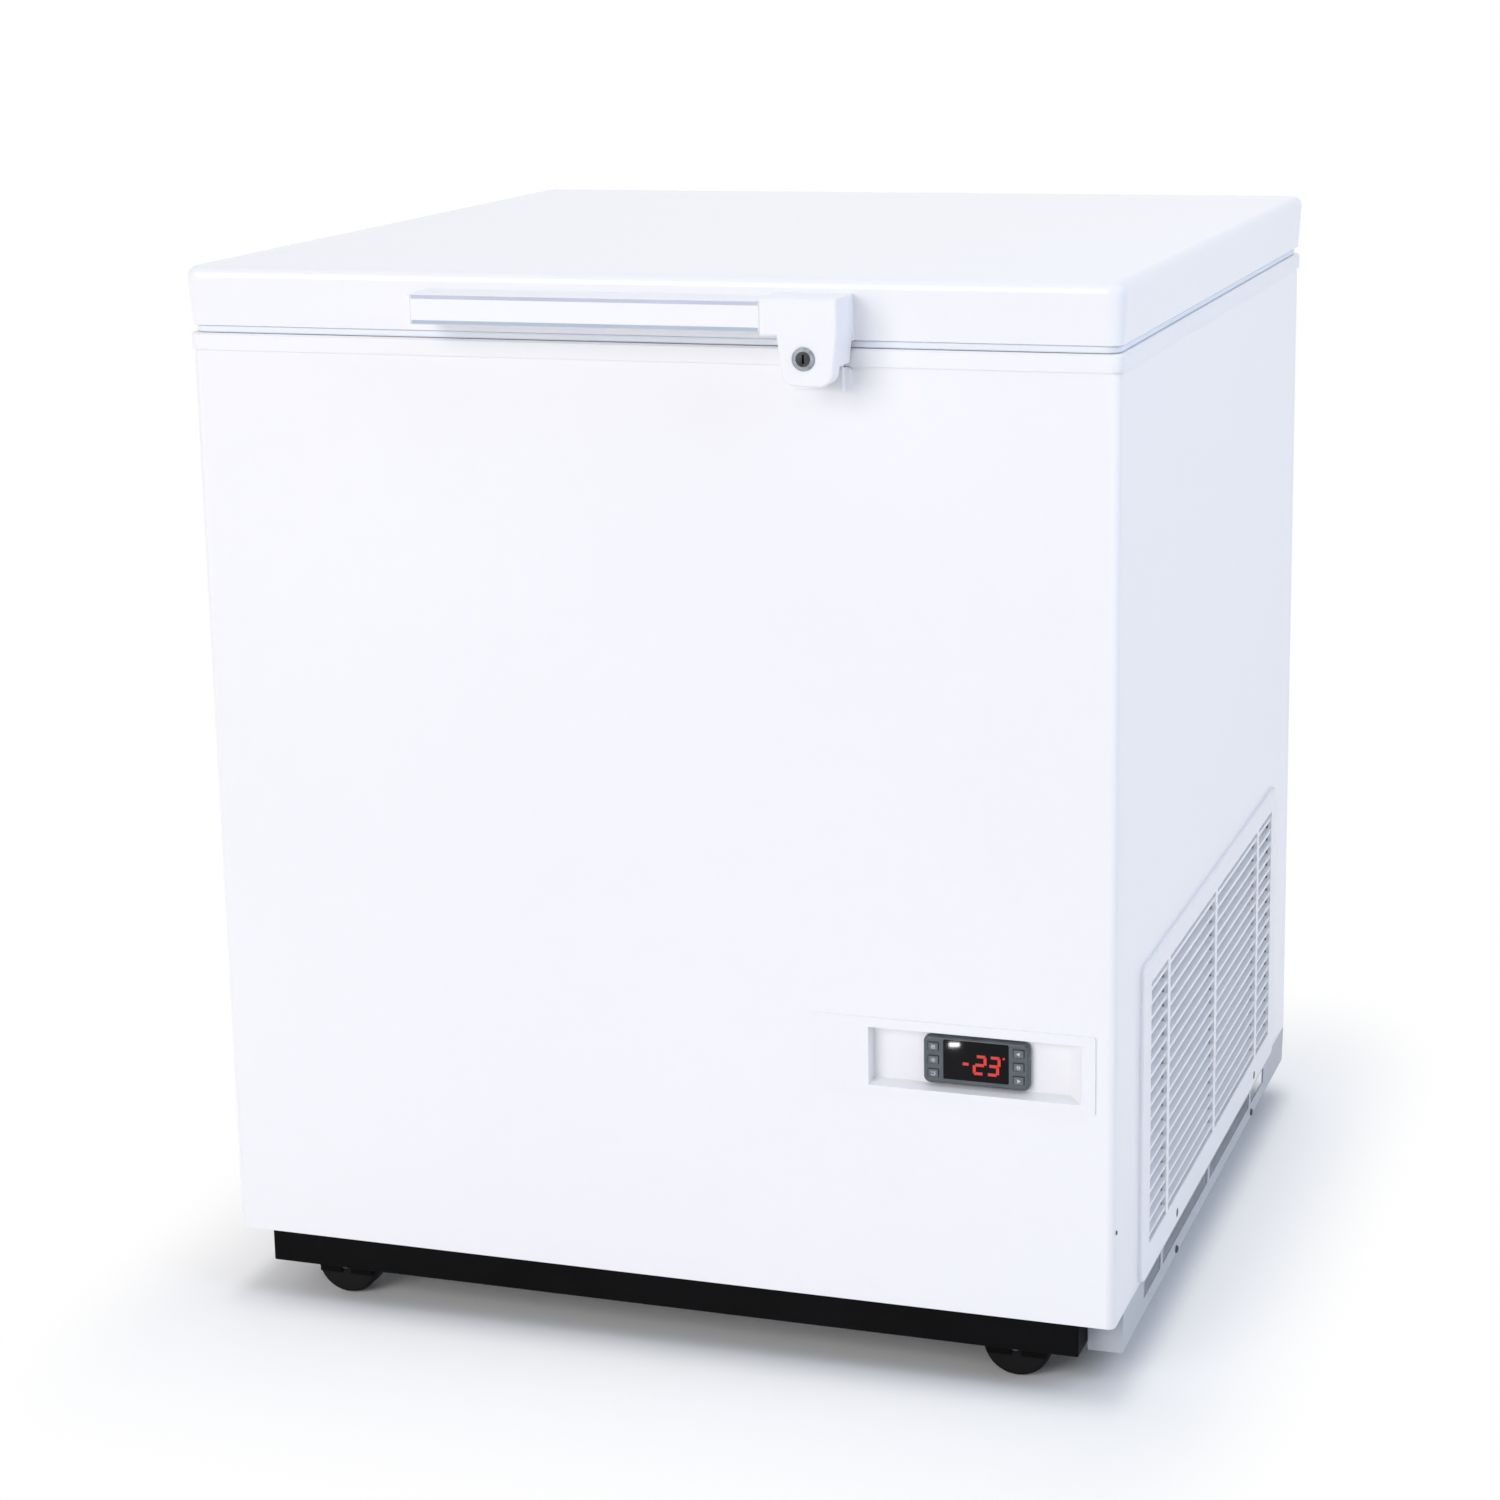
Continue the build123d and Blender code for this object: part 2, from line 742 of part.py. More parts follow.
# Roller brackets: folded forks under the cabinet floor, slotted from below for the axles
fork_width = roller_width + 2 * (bracket_side_gap + bracket_sheet)
with BuildPart() as roller_brackets:
    for spot_x, spot_y in roller_spots.values():
        with BuildSketch(facing_right(spot_x)):
            with Locations((spot_y, panel_bottom)):
                Rectangle(
                    fork_width,
                    panel_bottom - roller_radius + bracket_below_axle,
                    align=(Align.CENTER, Align.MAX),
                )
            with Locations((spot_y, panel_bottom - bracket_sheet)):
                Rectangle(
                    fork_width - 2 * bracket_sheet,
                    panel_bottom,
                    align=(Align.CENTER, Align.MAX),
                    mode=Mode.SUBTRACT,
                )
        extrude(amount=bracket_length / 2, both=True)
        with BuildSketch(facing_front(spot_y)):
            with Locations((spot_x, roller_radius + axle_radius + running_gap)):
                Rectangle(
                    2 * (axle_radius + running_gap),
                    roller_radius,
                    align=(Align.CENTER, Align.MAX),
                )
        extrude(amount=fork_width, both=True, mode=Mode.SUBTRACT)
roller_brackets.part.label = "roller_brackets"
export_step(roller_brackets.part, "parts/roller_brackets.step")

# Roller axles: plain pins through the forks, standing out a little at both ends
with BuildPart() as roller_axles:
    for spot_x, spot_y in roller_spots.values():
        with BuildSketch(facing_front(spot_y)):
            with Locations((spot_x, roller_radius)):
                Circle(axle_radius)
        extrude(amount=fork_width / 2 + axle_end, both=True)
roller_axles.part.label = "roller_axles"
export_step(roller_axles.part, "parts/roller_axles.step")

# Side grille: moulded panel with four columns of sloping bars between ribs
with BuildPart() as side_grille:
    with BuildSketch(facing_right(right_x)):
        with Locations((mid_y, grille_mid_z)):
            RectangleRounded(grille_width, grille_height, grille_radius)
        for column_y, column_width in grille_columns:
            with Locations((mid_y + column_y, louvre_mid_z)):
                Rectangle(column_width, louvre_height, mode=Mode.SUBTRACT)
    extrude(amount=grille_proud)
    chamfer(side_grille.faces().sort_by(Axis.X)[-1].outer_wire().edges(), grille_proud / 3)
    with BuildSketch(facing_front(mid_y + louvre_field / 2)):
        with Locations((louvre_x, louvre_mid_z)):
            with GridLocations(louvre_pitch, louvre_pitch, 1, louvre_rows):
                Rectangle(louvre_length, louvre_sheet, rotation=-louvre_angle)
    extrude(amount=louvre_field)
    with BuildSketch(facing_right(right_x + grille_proud)):
        with Locations(*screw_spots):
            Circle(screw_head_radius + fit_gap)
    extrude(amount=-screw_head_height - fit_gap, mode=Mode.SUBTRACT)
    with BuildSketch(facing_right(right_x)):
        with Locations(*screw_spots):
            Circle(screw_shank_radius + fit_gap)
    extrude(amount=grille_proud, mode=Mode.SUBTRACT)
side_grille.part.label = "side_grille"
export_step(side_grille.part, "parts/side_grille.step")

# Grille screws, heads sunk level with the panel
with BuildPart() as grille_screws:
    with BuildSketch(facing_right(right_x + grille_proud - screw_head_height - fit_gap)):
        with Locations(*screw_spots):
            Circle(screw_head_radius)
    extrude(amount=screw_head_height)
    with BuildSketch(facing_right(right_x + grille_proud - screw_head_height - fit_gap)):
        with Locations(*screw_spots):
            Circle(screw_shank_radius)
    extrude(amount=-screw_length)
grille_screws.part.label = "grille_screws"
export_step(grille_screws.part, "parts/grille_screws.step")

# Control panel: flange on the front panel and a pocket with leaning side walls
with BuildPart() as control_panel:
    with BuildSketch(facing_front(front_y)):
        with Locations((bezel_x + panel_frame_shift, bezel_z)):
            RectangleRounded(panel_frame_width, panel_frame_height, pocket_wall)
    extrude(amount=panel_flange)
    with BuildSketch(facing_front(front_y)):
        with Locations((bezel_x, bezel_z)):
            Rectangle(pocket_width + 2 * pocket_wall, pocket_height + 2 * pocket_wall)
    with BuildSketch(facing_front(pocket_floor_y + pocket_wall)):
        with Locations((bezel_x - pocket_floor_shift, bezel_z)):
            Rectangle(pocket_floor_width + 2 * pocket_wall, pocket_floor_height + 2 * pocket_wall)
    loft(ruled=True)
    with BuildSketch(facing_front(front_y - panel_flange)):
        with Locations((bezel_x, bezel_z)):
            Rectangle(pocket_width, pocket_height)
    with BuildSketch(facing_front(pocket_floor_y)):
        with Locations((bezel_x - pocket_floor_shift, bezel_z)):
            Rectangle(pocket_floor_width, pocket_floor_height)
    loft(ruled=True, mode=Mode.SUBTRACT)
    with BuildSketch(facing_front(pocket_floor_y)):
        with Locations((bezel_x, bezel_z)):
            Rectangle(controller_width + 2 * fit_gap, controller_height + 2 * fit_gap)
    extrude(amount=-2 * pocket_wall, mode=Mode.SUBTRACT)
control_panel.part.label = "control_panel"
export_step(control_panel.part, "parts/control_panel.step")

# Controller bezel: rounded frame with a window opening and two columns of key openings
with BuildPart() as controller_bezel:
    with BuildSketch(facing_front(pocket_floor_y)):
        with Locations((bezel_x, bezel_z)):
            RectangleRounded(bezel_width, bezel_height, bezel_radius)
    extrude(amount=bezel_thickness)
    chamfer(controller_bezel.faces().sort_by(Axis.Y)[0].edges(), bezel_radius / 3)
    with BuildSketch(facing_front(pocket_floor_y)):
        with Locations((bezel_x, bezel_z)):
            Rectangle(window_width, window_height)
            with Locations(*key_spots.values()):
                Rectangle(key_width + 2 * window_gap, key_height + 2 * window_gap)
    extrude(amount=bezel_thickness, mode=Mode.SUBTRACT)
controller_bezel.part.label = "controller_bezel"
export_step(controller_bezel.part, "parts/controller_bezel.step")

# Display window, set just below the bezel's face
with BuildPart() as display_window:
    with BuildSketch(facing_front(bezel_front_y + window_recess + window_thickness)):
        with Locations((bezel_x, bezel_z)):
            Rectangle(window_width - 2 * window_gap, window_height - 2 * window_gap)
    extrude(amount=window_thickness)
display_window.part.label = "display_window"
export_step(display_window.part, "parts/display_window.step")

# Controller housing behind the panel
with BuildPart() as controller_housing:
    with BuildSketch(facing_front(pocket_floor_y)):
        with Locations((bezel_x, bezel_z)):
            Rectangle(controller_width, controller_height)
    extrude(amount=-controller_depth)
controller_housing.part.label = "controller_housing"
export_step(controller_housing.part, "parts/controller_housing.step")

# Six keys, each a small cap that can be pressed into the bezel
for key_name, (offset_x, offset_z) in key_spots.items():
    with BuildPart() as key_cap:
        with BuildSketch(facing_front(bezel_front_y + key_depth)):
            with Locations((bezel_x + offset_x, bezel_z + offset_z)):
                Rectangle(key_width, key_height)
        extrude(amount=key_depth + key_proud)
        chamfer(key_cap.faces().sort_by(Axis.Y)[0].edges(), key_proud / 2)
    key_cap.part.label = key_name
    export_step(key_cap.part, f"parts/{key_name}.step")

# The wedge that bevels the lid's lower back edge, seen from the side
def lid_bevel_outline(skin):
    edge_y = back_y + lid_overhang - lid_draft - skin
    low_z = lid_bottom + skin
    Polyline(
        (edge_y - lid_back_bevel, low_z),
        (edge_y + lid_back_bevel, low_z + 2 * lid_back_bevel),
        (edge_y + lid_back_bevel, low_z - lid_back_bevel),
        (edge_y - lid_back_bevel, low_z - lid_back_bevel),
        close=True,
    )


# The lid's block as drawn, as hollowed inside the skin, and as filled with insulation
lid_blocks = []
for skin in (0, lid_skin, lid_skin + fit_gap):
    with BuildPart() as lid_block:
        with BuildSketch(level(lid_bottom)):
            with Locations((0, mid_y)):
                RectangleRounded(
                    cabinet_width + 2 * (lid_overhang - lid_draft - skin),
                    cabinet_depth + 2 * (lid_overhang - lid_draft - skin),
                    lid_corner_radius - skin,
                )
        extrude(amount=lid_height - skin, taper=-lid_draft_angle)
        with BuildSketch(facing_right(-cabinet_width)):
            with BuildLine():
                lid_bevel_outline(skin)
            make_face()
        extrude(amount=2 * cabinet_width, mode=Mode.SUBTRACT)
        top_edges = lid_block.faces().sort_by(Axis.Z)[-1].edges()
        if skin:
            chamfer(top_edges, lid_edge_radius - skin)
        else:
            fillet(top_edges, lid_edge_radius)
    lid_blocks.append(lid_block.part)

# The shallow plug under the lid: its outer form, its hollow and the insulation in it
plug_width = mouth_width - 2 * lid_plug_margin
plug_depth = mouth_depth - 2 * lid_plug_margin
plug_top = lid_bottom + lid_panel_sheet
plug_blocks = []
for skin in (0, lid_panel_sheet, lid_panel_sheet + fit_gap):
    with BuildPart() as plug_block:
        with BuildSketch(level(plug_top)):
            with Locations((0, mid_y)):
                RectangleRounded(plug_width - 2 * skin, plug_depth - 2 * skin, mouth_radius - skin)
        extrude(amount=-lid_plug_drop + skin)
        chamfer(plug_block.faces().sort_by(Axis.Z)[0].edges(), lid_edge_radius - skin)
    plug_blocks.append(plug_block.part)

# Lid shell: drafted pan with rounded top edges and a bevelled lower back edge
with BuildPart() as lid_shell:
    add(lid_blocks[0])
    add(lid_blocks[1], mode=Mode.SUBTRACT)
lid_shell.part.label = "lid_shell"
export_step(lid_shell.part, "parts/lid_shell.step")

# Lid inner panel: flange inside the shell's lower edge and the plug that dips into the mouth
flange_inset = lid_draft + lid_skin + fit_gap
flange_back_y = back_y + lid_overhang - lid_draft - lid_back_bevel - lid_panel_sheet
with BuildPart() as lid_inner_panel:
    with BuildSketch(level(lid_bottom)):
        with Locations((0, mid_y)):
            RectangleRounded(
                cabinet_width + 2 * (lid_overhang - flange_inset),
                cabinet_depth + 2 * (lid_overhang - flange_inset),
                lid_corner_radius,
            )
        with Locations((0, flange_back_y)):
            Rectangle(
                2 * cabinet_width,
                2 * cabinet_depth,
                align=(Align.CENTER, Align.MAX),
                mode=Mode.INTERSECT,
            )
    extrude(amount=lid_panel_sheet)
    add(plug_blocks[0])
    add(plug_blocks[1], mode=Mode.SUBTRACT)
lid_inner_panel.part.label = "lid_inner_panel"
export_step(lid_inner_panel.part, "parts/lid_inner_panel.step")

# Lid insulation between the shell and the inner panel
with BuildPart() as lid_foam:
    add(lid_blocks[2])
    with BuildSketch(level(plug_top)):
        with Locations((0, mid_y)):
            Rectangle(2 * cabinet_width, 2 * cabinet_depth)
    extrude(amount=-lid_panel_sheet, mode=Mode.SUBTRACT)
    add(plug_blocks[2])
lid_foam.part.label = "lid_foam"
export_step(lid_foam.part, "parts/lid_foam.step")

# Lid gasket: soft ring under the lid that closes on the top frame
gasket_height = seal_height - fit_gap
gasket_outer_x = cabinet_width - 2 * gasket_inset
gasket_outer_y = cabinet_depth - gasket_inset - gasket_back_inset
with BuildPart() as lid_gasket:
    with BuildSketch(level(lid_bottom)):
        with Locations((0, mid_y + (gasket_inset - gasket_back_inset) / 2)):
            RectangleRounded(gasket_outer_x, gasket_outer_y, panel_corner_radius)
            Rectangle(
                gasket_outer_x - 2 * gasket_width,
                gasket_outer_y - 2 * gasket_width,
                mode=Mode.SUBTRACT,
            )
    extrude(amount=-gasket_height)
    chamfer(lid_gasket.faces().sort_by(Axis.Z)[0].edges(), gasket_height / 3)
lid_gasket.part.label = "lid_gasket"
export_step(lid_gasket.part, "parts/lid_gasket.step")

# Handle bar: extruded channel, open below for the fingers, lying against the leaning lid face
with BuildPart() as handle_bar:
    with BuildSketch(facing_right(handle_left_x + handle_cap)) as channel:
        with BuildLine():
            Polyline(
                (lid_face_y(handle_bottom), handle_bottom),
                (lid_face_y(handle_top), handle_top),
                (handle_front, handle_top),
                (handle_front, handle_bottom),
                (handle_front + handle_wall, handle_bottom),
                (handle_front + handle_wall, handle_top - handle_wall),
                (lid_face_y(handle_top) - handle_wall, handle_top - handle_wall),
                (lid_face_y(handle_bottom) - handle_wall, handle_bottom),
                close=True,
            )
        make_face()
        fillet(channel.vertices().group_by(Axis.Y)[-1].sort_by(Axis.X)[0], handle_radius)
    extrude(amount=handle_length - handle_cap)
handle_bar.part.label = "handle_bar"
export_step(handle_bar.part, "parts/handle_bar.step")

# Handle end cap closing the left end of the channel
with BuildPart() as handle_end_cap:
    with BuildSketch(facing_right(handle_left_x)) as cap_outline:
        with BuildLine():
            Polyline(
                (lid_face_y(handle_bottom), handle_bottom),
                (lid_face_y(handle_top), handle_top),
                (handle_front, handle_top),
                (handle_front, handle_bottom),
                close=True,
            )
        make_face()
        fillet(cap_outline.vertices().group_by(Axis.Y)[-1].sort_by(Axis.X)[0], handle_radius)
    extrude(amount=handle_cap)
handle_end_cap.part.label = "handle_end_cap"
export_step(handle_end_cap.part, "parts/handle_end_cap.step")


# The lock housing's outline from the front: a block beside the handle and a tapered tab below it
def lock_outline(inset):
    tab_left = lock_tab_x + inset
    tab_right = lock_right_x - inset
    tab_low = lock_tab_bottom + inset
    Polyline(
        (handle_right_x + inset, lock_top - inset),
        (tab_right, lock_top - inset),
        (tab_right, handle_bottom),
        (tab_right - lock_tab_taper, tab_low),
        (tab_left + lock_tab_taper, tab_low),
        (tab_left, handle_bottom - lock_top_margin + inset),
        (handle_right_x + inset, handle_bottom - lock_top_margin + inset),
        close=True,
    )


# Lock housing: hood that hangs over the keeper, open at the back
with BuildPart() as lock_housing:
    with BuildSketch(facing_front(lock_back)) as hood:
        with BuildLine():
            lock_outline(0)
        make_face()
        fillet(hood.vertices().group_by(Axis.Y)[0], lock_tab_radius)
    extrude(amount=lock_back - lock_front)
    chamfer(lock_housing.faces().sort_by(Axis.Y)[0].edges(), lock_wall / 2)
    with BuildSketch(facing_front(lock_back)) as hollow:
        with BuildLine():
            lock_outline(lock_wall)
        make_face()
        fillet(hollow.vertices().group_by(Axis.Y)[0], lock_tab_radius - lock_wall)
    extrude(amount=lock_back - lock_front - lock_wall, mode=Mode.SUBTRACT)
    with BuildSketch(facing_front(lock_back)):
        with Locations((lock_tab_x, lock_tab_bottom)):
            Rectangle(lock_width, lock_tab_radius + lock_wall, align=(Align.MIN, Align.MIN))
    extrude(amount=lock_back - keeper_lip_front + fit_gap, mode=Mode.SUBTRACT)
    with BuildSketch(facing_front(lock_front)):
        with Locations((lock_axis_x, lock_axis_z)):
            Circle(barrel_radius + running_gap)
    extrude(amount=-2 * lock_wall, mode=Mode.SUBTRACT)
    with BuildSketch(facing_front(front_y)):
        with Locations(((handle_right_x + lock_right_x) / 2, lock_top)):
            Rectangle(lock_width, lock_top - lid_bottom, align=(Align.CENTER, Align.MAX))
        with Locations(((handle_right_x + lock_right_x) / 2, lock_top - lock_wall)):
            Rectangle(
                lock_width - 2 * lock_wall,
                lock_top,
                align=(Align.CENTER, Align.MAX),
                mode=Mode.SUBTRACT,
            )
    extrude(amount=front_y - lock_back)
    add(lid_blocks[0], mode=Mode.SUBTRACT)
lock_housing.part.label = "lock_housing"
export_step(lock_housing.part, "parts/lock_housing.step")

# Lock barrel fixed in the hood
barrel_front = lock_front - barrel_proud
with BuildPart() as lock_barrel:
    with BuildSketch(facing_front(barrel_front + barrel_length)):
        with Locations((lock_axis_x, lock_axis_z)):
            Circle(barrel_radius)
            Circle(plug_radius + running_gap, mode=Mode.SUBTRACT)
    extrude(amount=barrel_length)
lock_barrel.part.label = "lock_barrel"
export_step(lock_barrel.part, "parts/lock_barrel.step")

# Lock plug with its key slot, turning in the barrel
with BuildPart() as lock_plug:
    with BuildSketch(facing_front(plug_back)):
        with Locations((lock_axis_x, lock_axis_z)):
            Circle(plug_radius)
    extrude(amount=plug_back - barrel_front - fit_gap)
    with BuildSketch(facing_front(barrel_front + fit_gap)):
        with Locations((lock_axis_x, lock_axis_z)):
            Rectangle(key_slot_width, key_slot_length)
    extrude(amount=-key_slot_depth, mode=Mode.SUBTRACT)
lock_plug.part.label = "lock_plug"
export_step(lock_plug.part, "parts/lock_plug.step")

# Lock cam on the plug's tail, hanging down when unlocked
with BuildPart() as lock_cam:
    with BuildSketch(facing_front(cam_back)):
        with Locations((lock_axis_x, lock_axis_z)):
            Circle(plug_radius)
            Rectangle(cam_width, cam_length, align=(Align.CENTER, Align.MAX))
    extrude(amount=cam_thickness)
lock_cam.part.label = "lock_cam"
export_step(lock_cam.part, "parts/lock_cam.step")

# Lock keeper: plate on the cabinet front with a hook that the cam turns under
with BuildPart() as lock_keeper:
    with BuildSketch(facing_front(front_y)):
        with Locations((lock_axis_x, keeper_top)):
            RectangleRounded(keeper_width, keeper_height, keeper_plate, align=(Align.CENTER, Align.MAX))
    extrude(amount=keeper_plate)
    with BuildSketch(facing_right(keeper_hook_x)):
        with BuildLine():
            Polyline(
                (front_y, keeper_top),
                (front_y, keeper_top - keeper_height),
                (keeper_riser_front, keeper_top - keeper_height),
                (keeper_riser_front, keeper_lip_z),
                (keeper_lip_front, keeper_lip_z),
                (keeper_lip_front, keeper_lip_top),
                (keeper_riser_front + keeper_hook_sheet, keeper_lip_top),
                (keeper_riser_front + keeper_hook_sheet, keeper_top),
                close=True,
            )
        make_face()
    extrude(amount=keeper_hook_width)
lock_keeper.part.label = "lock_keeper"
export_step(lock_keeper.part, "parts/lock_keeper.step")

# Hinges: the cabinet leaf carries the outer knuckles, the lid leaf the inner one, the spring lies between
base_ear_starts = (0, hinge_width - hinge_knuckle)
arm_start = hinge_knuckle + fit_gap
spring_start = 2 * (hinge_knuckle + fit_gap)
for side_name, side_x in (("left", -hinge_x), ("right", hinge_x)):
    leaf_x = side_x - hinge_width / 2
    with BuildPart() as hinge_base:
        with BuildSketch(facing_right(leaf_x)):
            with Locations((back_y, hinge_base_top)):
                Rectangle(hinge_sheet, hinge_base_height, align=(Align.MIN, Align.MAX))
        extrude(amount=hinge_width)
        for ear_start in base_ear_starts:
            with BuildSketch(facing_right(leaf_x + ear_start)):
                with BuildLine():
                    Polyline(
                        (back_y, hinge_base_top - hinge_ear_foot),
                        (back_y, hinge_base_top),
                        (hinge_axis_y - hinge_knuckle_radius, rim_top),
                        (hinge_axis_y - hinge_knuckle_radius, hinge_axis_z),
                        (hinge_axis_y + hinge_knuckle_radius, hinge_axis_z),
                        (hinge_axis_y + hinge_knuckle_radius, rim_top),
                        close=True,
                    )
                make_face()
                with Locations((hinge_axis_y, hinge_axis_z)):
                    Circle(hinge_knuckle_radius)
                    Circle(hinge_pin_radius + running_gap, mode=Mode.SUBTRACT)
            extrude(amount=hinge_knuckle)
    hinge_base.part.label = f"hinge_base_{side_name}"
    export_step(hinge_base.part, f"parts/hinge_base_{side_name}.step")

    with BuildPart() as hinge_arm:
        with BuildSketch(facing_right(leaf_x)):
            with BuildLine():
                Polyline(
                    (lid_back_y(hinge_arm_bottom), hinge_arm_bottom),
                    (lid_back_y(hinge_arm_top), hinge_arm_top),
                    (lid_back_y(hinge_arm_top) + hinge_sheet, hinge_arm_top),
                    (lid_back_y(hinge_arm_top) + hinge_sheet, hinge_arm_bottom),
                    close=True,
                )
            make_face()
        extrude(amount=hinge_width)
        with BuildSketch(facing_right(leaf_x + arm_start)):
            with BuildLine():
                Polyline(
                    (lid_back_y(hinge_arm_bottom), hinge_arm_bottom),
                    (lid_back_y(hinge_arm_top) + hinge_sheet, hinge_arm_bottom + hinge_knuckle_radius),
                    (hinge_axis_y + hinge_knuckle_radius, hinge_axis_z),
                    (hinge_axis_y - hinge_knuckle_radius, hinge_axis_z),
                    close=True,
                )
            make_face()
            with Locations((hinge_axis_y, hinge_axis_z)):
                Circle(hinge_knuckle_radius)
                Circle(hinge_pin_radius + running_gap, mode=Mode.SUBTRACT)
        extrude(amount=hinge_knuckle)
    hinge_arm.part.label = f"hinge_arm_{side_name}"
    export_step(hinge_arm.part, f"parts/hinge_arm_{side_name}.step")

# Hinge pins, headed at the outer end
pin_length = hinge_width + 2 * fit_gap
with BuildPart() as hinge_pins:
    for side_x in (-hinge_x, hinge_x):
        with BuildSketch(facing_right(side_x)):
            with Locations((hinge_axis_y, hinge_axis_z)):
                Circle(hinge_pin_radius)
        extrude(amount=pin_length / 2, both=True)
        head_way = 1 if side_x > 0 else -1
        with BuildSketch(facing_right(side_x + head_way * pin_length / 2)):
            with Locations((hinge_axis_y, hinge_axis_z)):
                Circle(hinge_knuckle_radius - fit_gap)
        extrude(amount=head_way * hinge_pin_head)
hinge_pins.part.label = "hinge_pins"
export_step(hinge_pins.part, "parts/hinge_pins.step")

# Hinge springs: coils on the pins beside the lid leaf's knuckle
coil_pitch_x = (spring_length - 2 * spring_wire) / spring_turn_count
with BuildPart() as hinge_springs:
    for side_x in (-hinge_x, hinge_x):
        first_x = side_x - hinge_width / 2 + spring_start + spring_wire
        coil_steps = range(spring_turn_count * tube_side_count + 1)
        with BuildLine():
            spring_path = Polyline(
                *[
                    Vector(first_x + step * coil_pitch_x / tube_side_count, hinge_axis_y, hinge_axis_z)
                    + Vector(0, spring_radius, 0).rotate(Axis.X, step * 360 / tube_side_count)
                    for step in coil_steps
                ]
            )
        with BuildSketch(Plane(origin=spring_path @ 0, x_dir=(0, 1, 0), z_dir=spring_path % 0)):
            Rectangle(spring_wire, spring_wire)
        sweep(path=spring_path, transition=Transition.RIGHT)
hinge_springs.part.label = "hinge_springs"
export_step(hinge_springs.part, "parts/hinge_springs.step")

# Compressor: hermetic can with domed ends, feet and pipe stubs
can_low = compressor_floor
can_high = compressor_top
can_waist = (can_low + can_high) / 2
with BuildPart() as compressor:
    with BuildSketch(Plane.XZ.offset(-compressor_y)):
        with BuildLine():
            Polyline(
                (compartment_mid_x, can_low),
                (compartment_mid_x + compressor_radius - compressor_dome, can_low),
                (compartment_mid_x + compressor_radius - compressor_shoulder, can_low + compressor_shoulder),
                (compartment_mid_x + compressor_radius, can_low + compressor_dome),
                (compartment_mid_x + compressor_radius, can_high - compressor_dome),
                (compartment_mid_x + compressor_radius - compressor_shoulder, can_high - compressor_shoulder),
                (compartment_mid_x + compressor_radius - compressor_dome, can_high),
                (compartment_mid_x, can_high),
                close=True,
            )
        make_face()
    revolve(axis=Axis((compartment_mid_x, compressor_y, 0), (0, 0, 1)))
    with BuildSketch(level(foot_plate_z)):
        with Locations((compartment_mid_x, compressor_y)):
            RectangleRounded(foot_plate_x, foot_plate_y, grommet_radius)
    extrude(amount=foot_plate_sheet)
    with BuildSketch(facing_front(compressor_y)):
        with Locations((discharge_x, condenser_high)):
            Circle(pipe_radius)
    extrude(amount=compressor_radius + stub_length)
    with BuildSketch(level(can_waist)):
        with Locations((coil_x, coil_return_y)):
            Circle(coil_radius)
    extrude(amount=suction_low - can_waist)
compressor.part.label = "compressor"
export_step(compressor.part, "parts/compressor.step")

# Rubber grommets under the compressor's feet
foot_span_x = foot_plate_x - 2 * foot_bolt_inset
foot_span_y = foot_plate_y - 2 * foot_bolt_inset
with BuildPart() as compressor_grommets:
    with BuildSketch(level(tray_floor)):
        with Locations((compartment_mid_x, compressor_y)):
            with GridLocations(foot_span_x, foot_span_y, 2, 2):
                RegularPolygon(grommet_radius, tube_side_count)
    extrude(amount=grommet_height)
compressor_grommets.part.label = "compressor_grommets"
export_step(compressor_grommets.part, "parts/compressor_grommets.step")

# Terminal cover on the compressor's right flank
with BuildPart() as terminal_cover:
    with BuildSketch(facing_right(compartment_mid_x + compressor_radius + fit_gap)):
        with Locations((compressor_y, can_waist)):
            Rectangle(terminal_width, terminal_height)
    extrude(amount=terminal_depth)
    fillet(terminal_cover.faces().sort_by(Axis.X)[-1].edges(), terminal_depth / 5)
terminal_cover.part.label = "terminal_cover"
export_step(terminal_cover.part, "parts/terminal_cover.step")

# Condenser coil: one tube folded into passes through the fins
turn_left = condenser_left - pipe_bend - condenser_lead
turn_right = condenser_right + pipe_bend + condenser_lead
condenser_points = [(turn_left, condenser_y, condenser_low)]
for fold in range(condenser_passes - 1):
    fold_x = turn_right if fold % 2 == 0 else turn_left
    condenser_points += [
        (fold_x, condenser_y, condenser_low + fold * condenser_pitch),
        (fold_x, condenser_y, condenser_low + (fold + 1) * condenser_pitch),
    ]
condenser_points.append((turn_left, condenser_y, condenser_high))
with BuildPart() as condenser_coil:
    with BuildLine():
        condenser_path = Polyline(*bent_route(condenser_points, pipe_bend))
    with BuildSketch(facing_right(turn_left)):
        with Locations((condenser_y, condenser_low)):
            RegularPolygon(pipe_radius, tube_side_count)
    sweep(path=condenser_path, transition=Transition.RIGHT)
condenser_coil.part.label = "condenser_coil"
export_step(condenser_coil.part, "parts/condenser_coil.step")

# Condenser fins: thin plates on the tube passes, the two end plates standing on the tray
fin_step = (condenser_length - fin_sheet) / (condenser_fin_count - 1)
with BuildPart() as condenser_fins:
    for fin in range(condenser_fin_count):
        fin_foot = tray_floor if fin in (0, condenser_fin_count - 1) else condenser_low - fin_margin
        with BuildSketch(facing_right(condenser_left + fin * fin_step)):
            with Locations((condenser_y, fin_foot)):
                Rectangle(
                    condenser_depth,
                    condenser_high + fin_margin - fin_foot,
                    align=(Align.CENTER, Align.MIN),
                )
            with Locations((condenser_y, (condenser_low + condenser_high) / 2)):
                with GridLocations(condenser_pitch, condenser_pitch, 1, condenser_passes):
                    RegularPolygon(pipe_radius + fit_gap, tube_side_count, mode=Mode.SUBTRACT)
        extrude(amount=fin_sheet)
condenser_fins.part.label = "condenser_fins"
export_step(condenser_fins.part, "parts/condenser_fins.step")

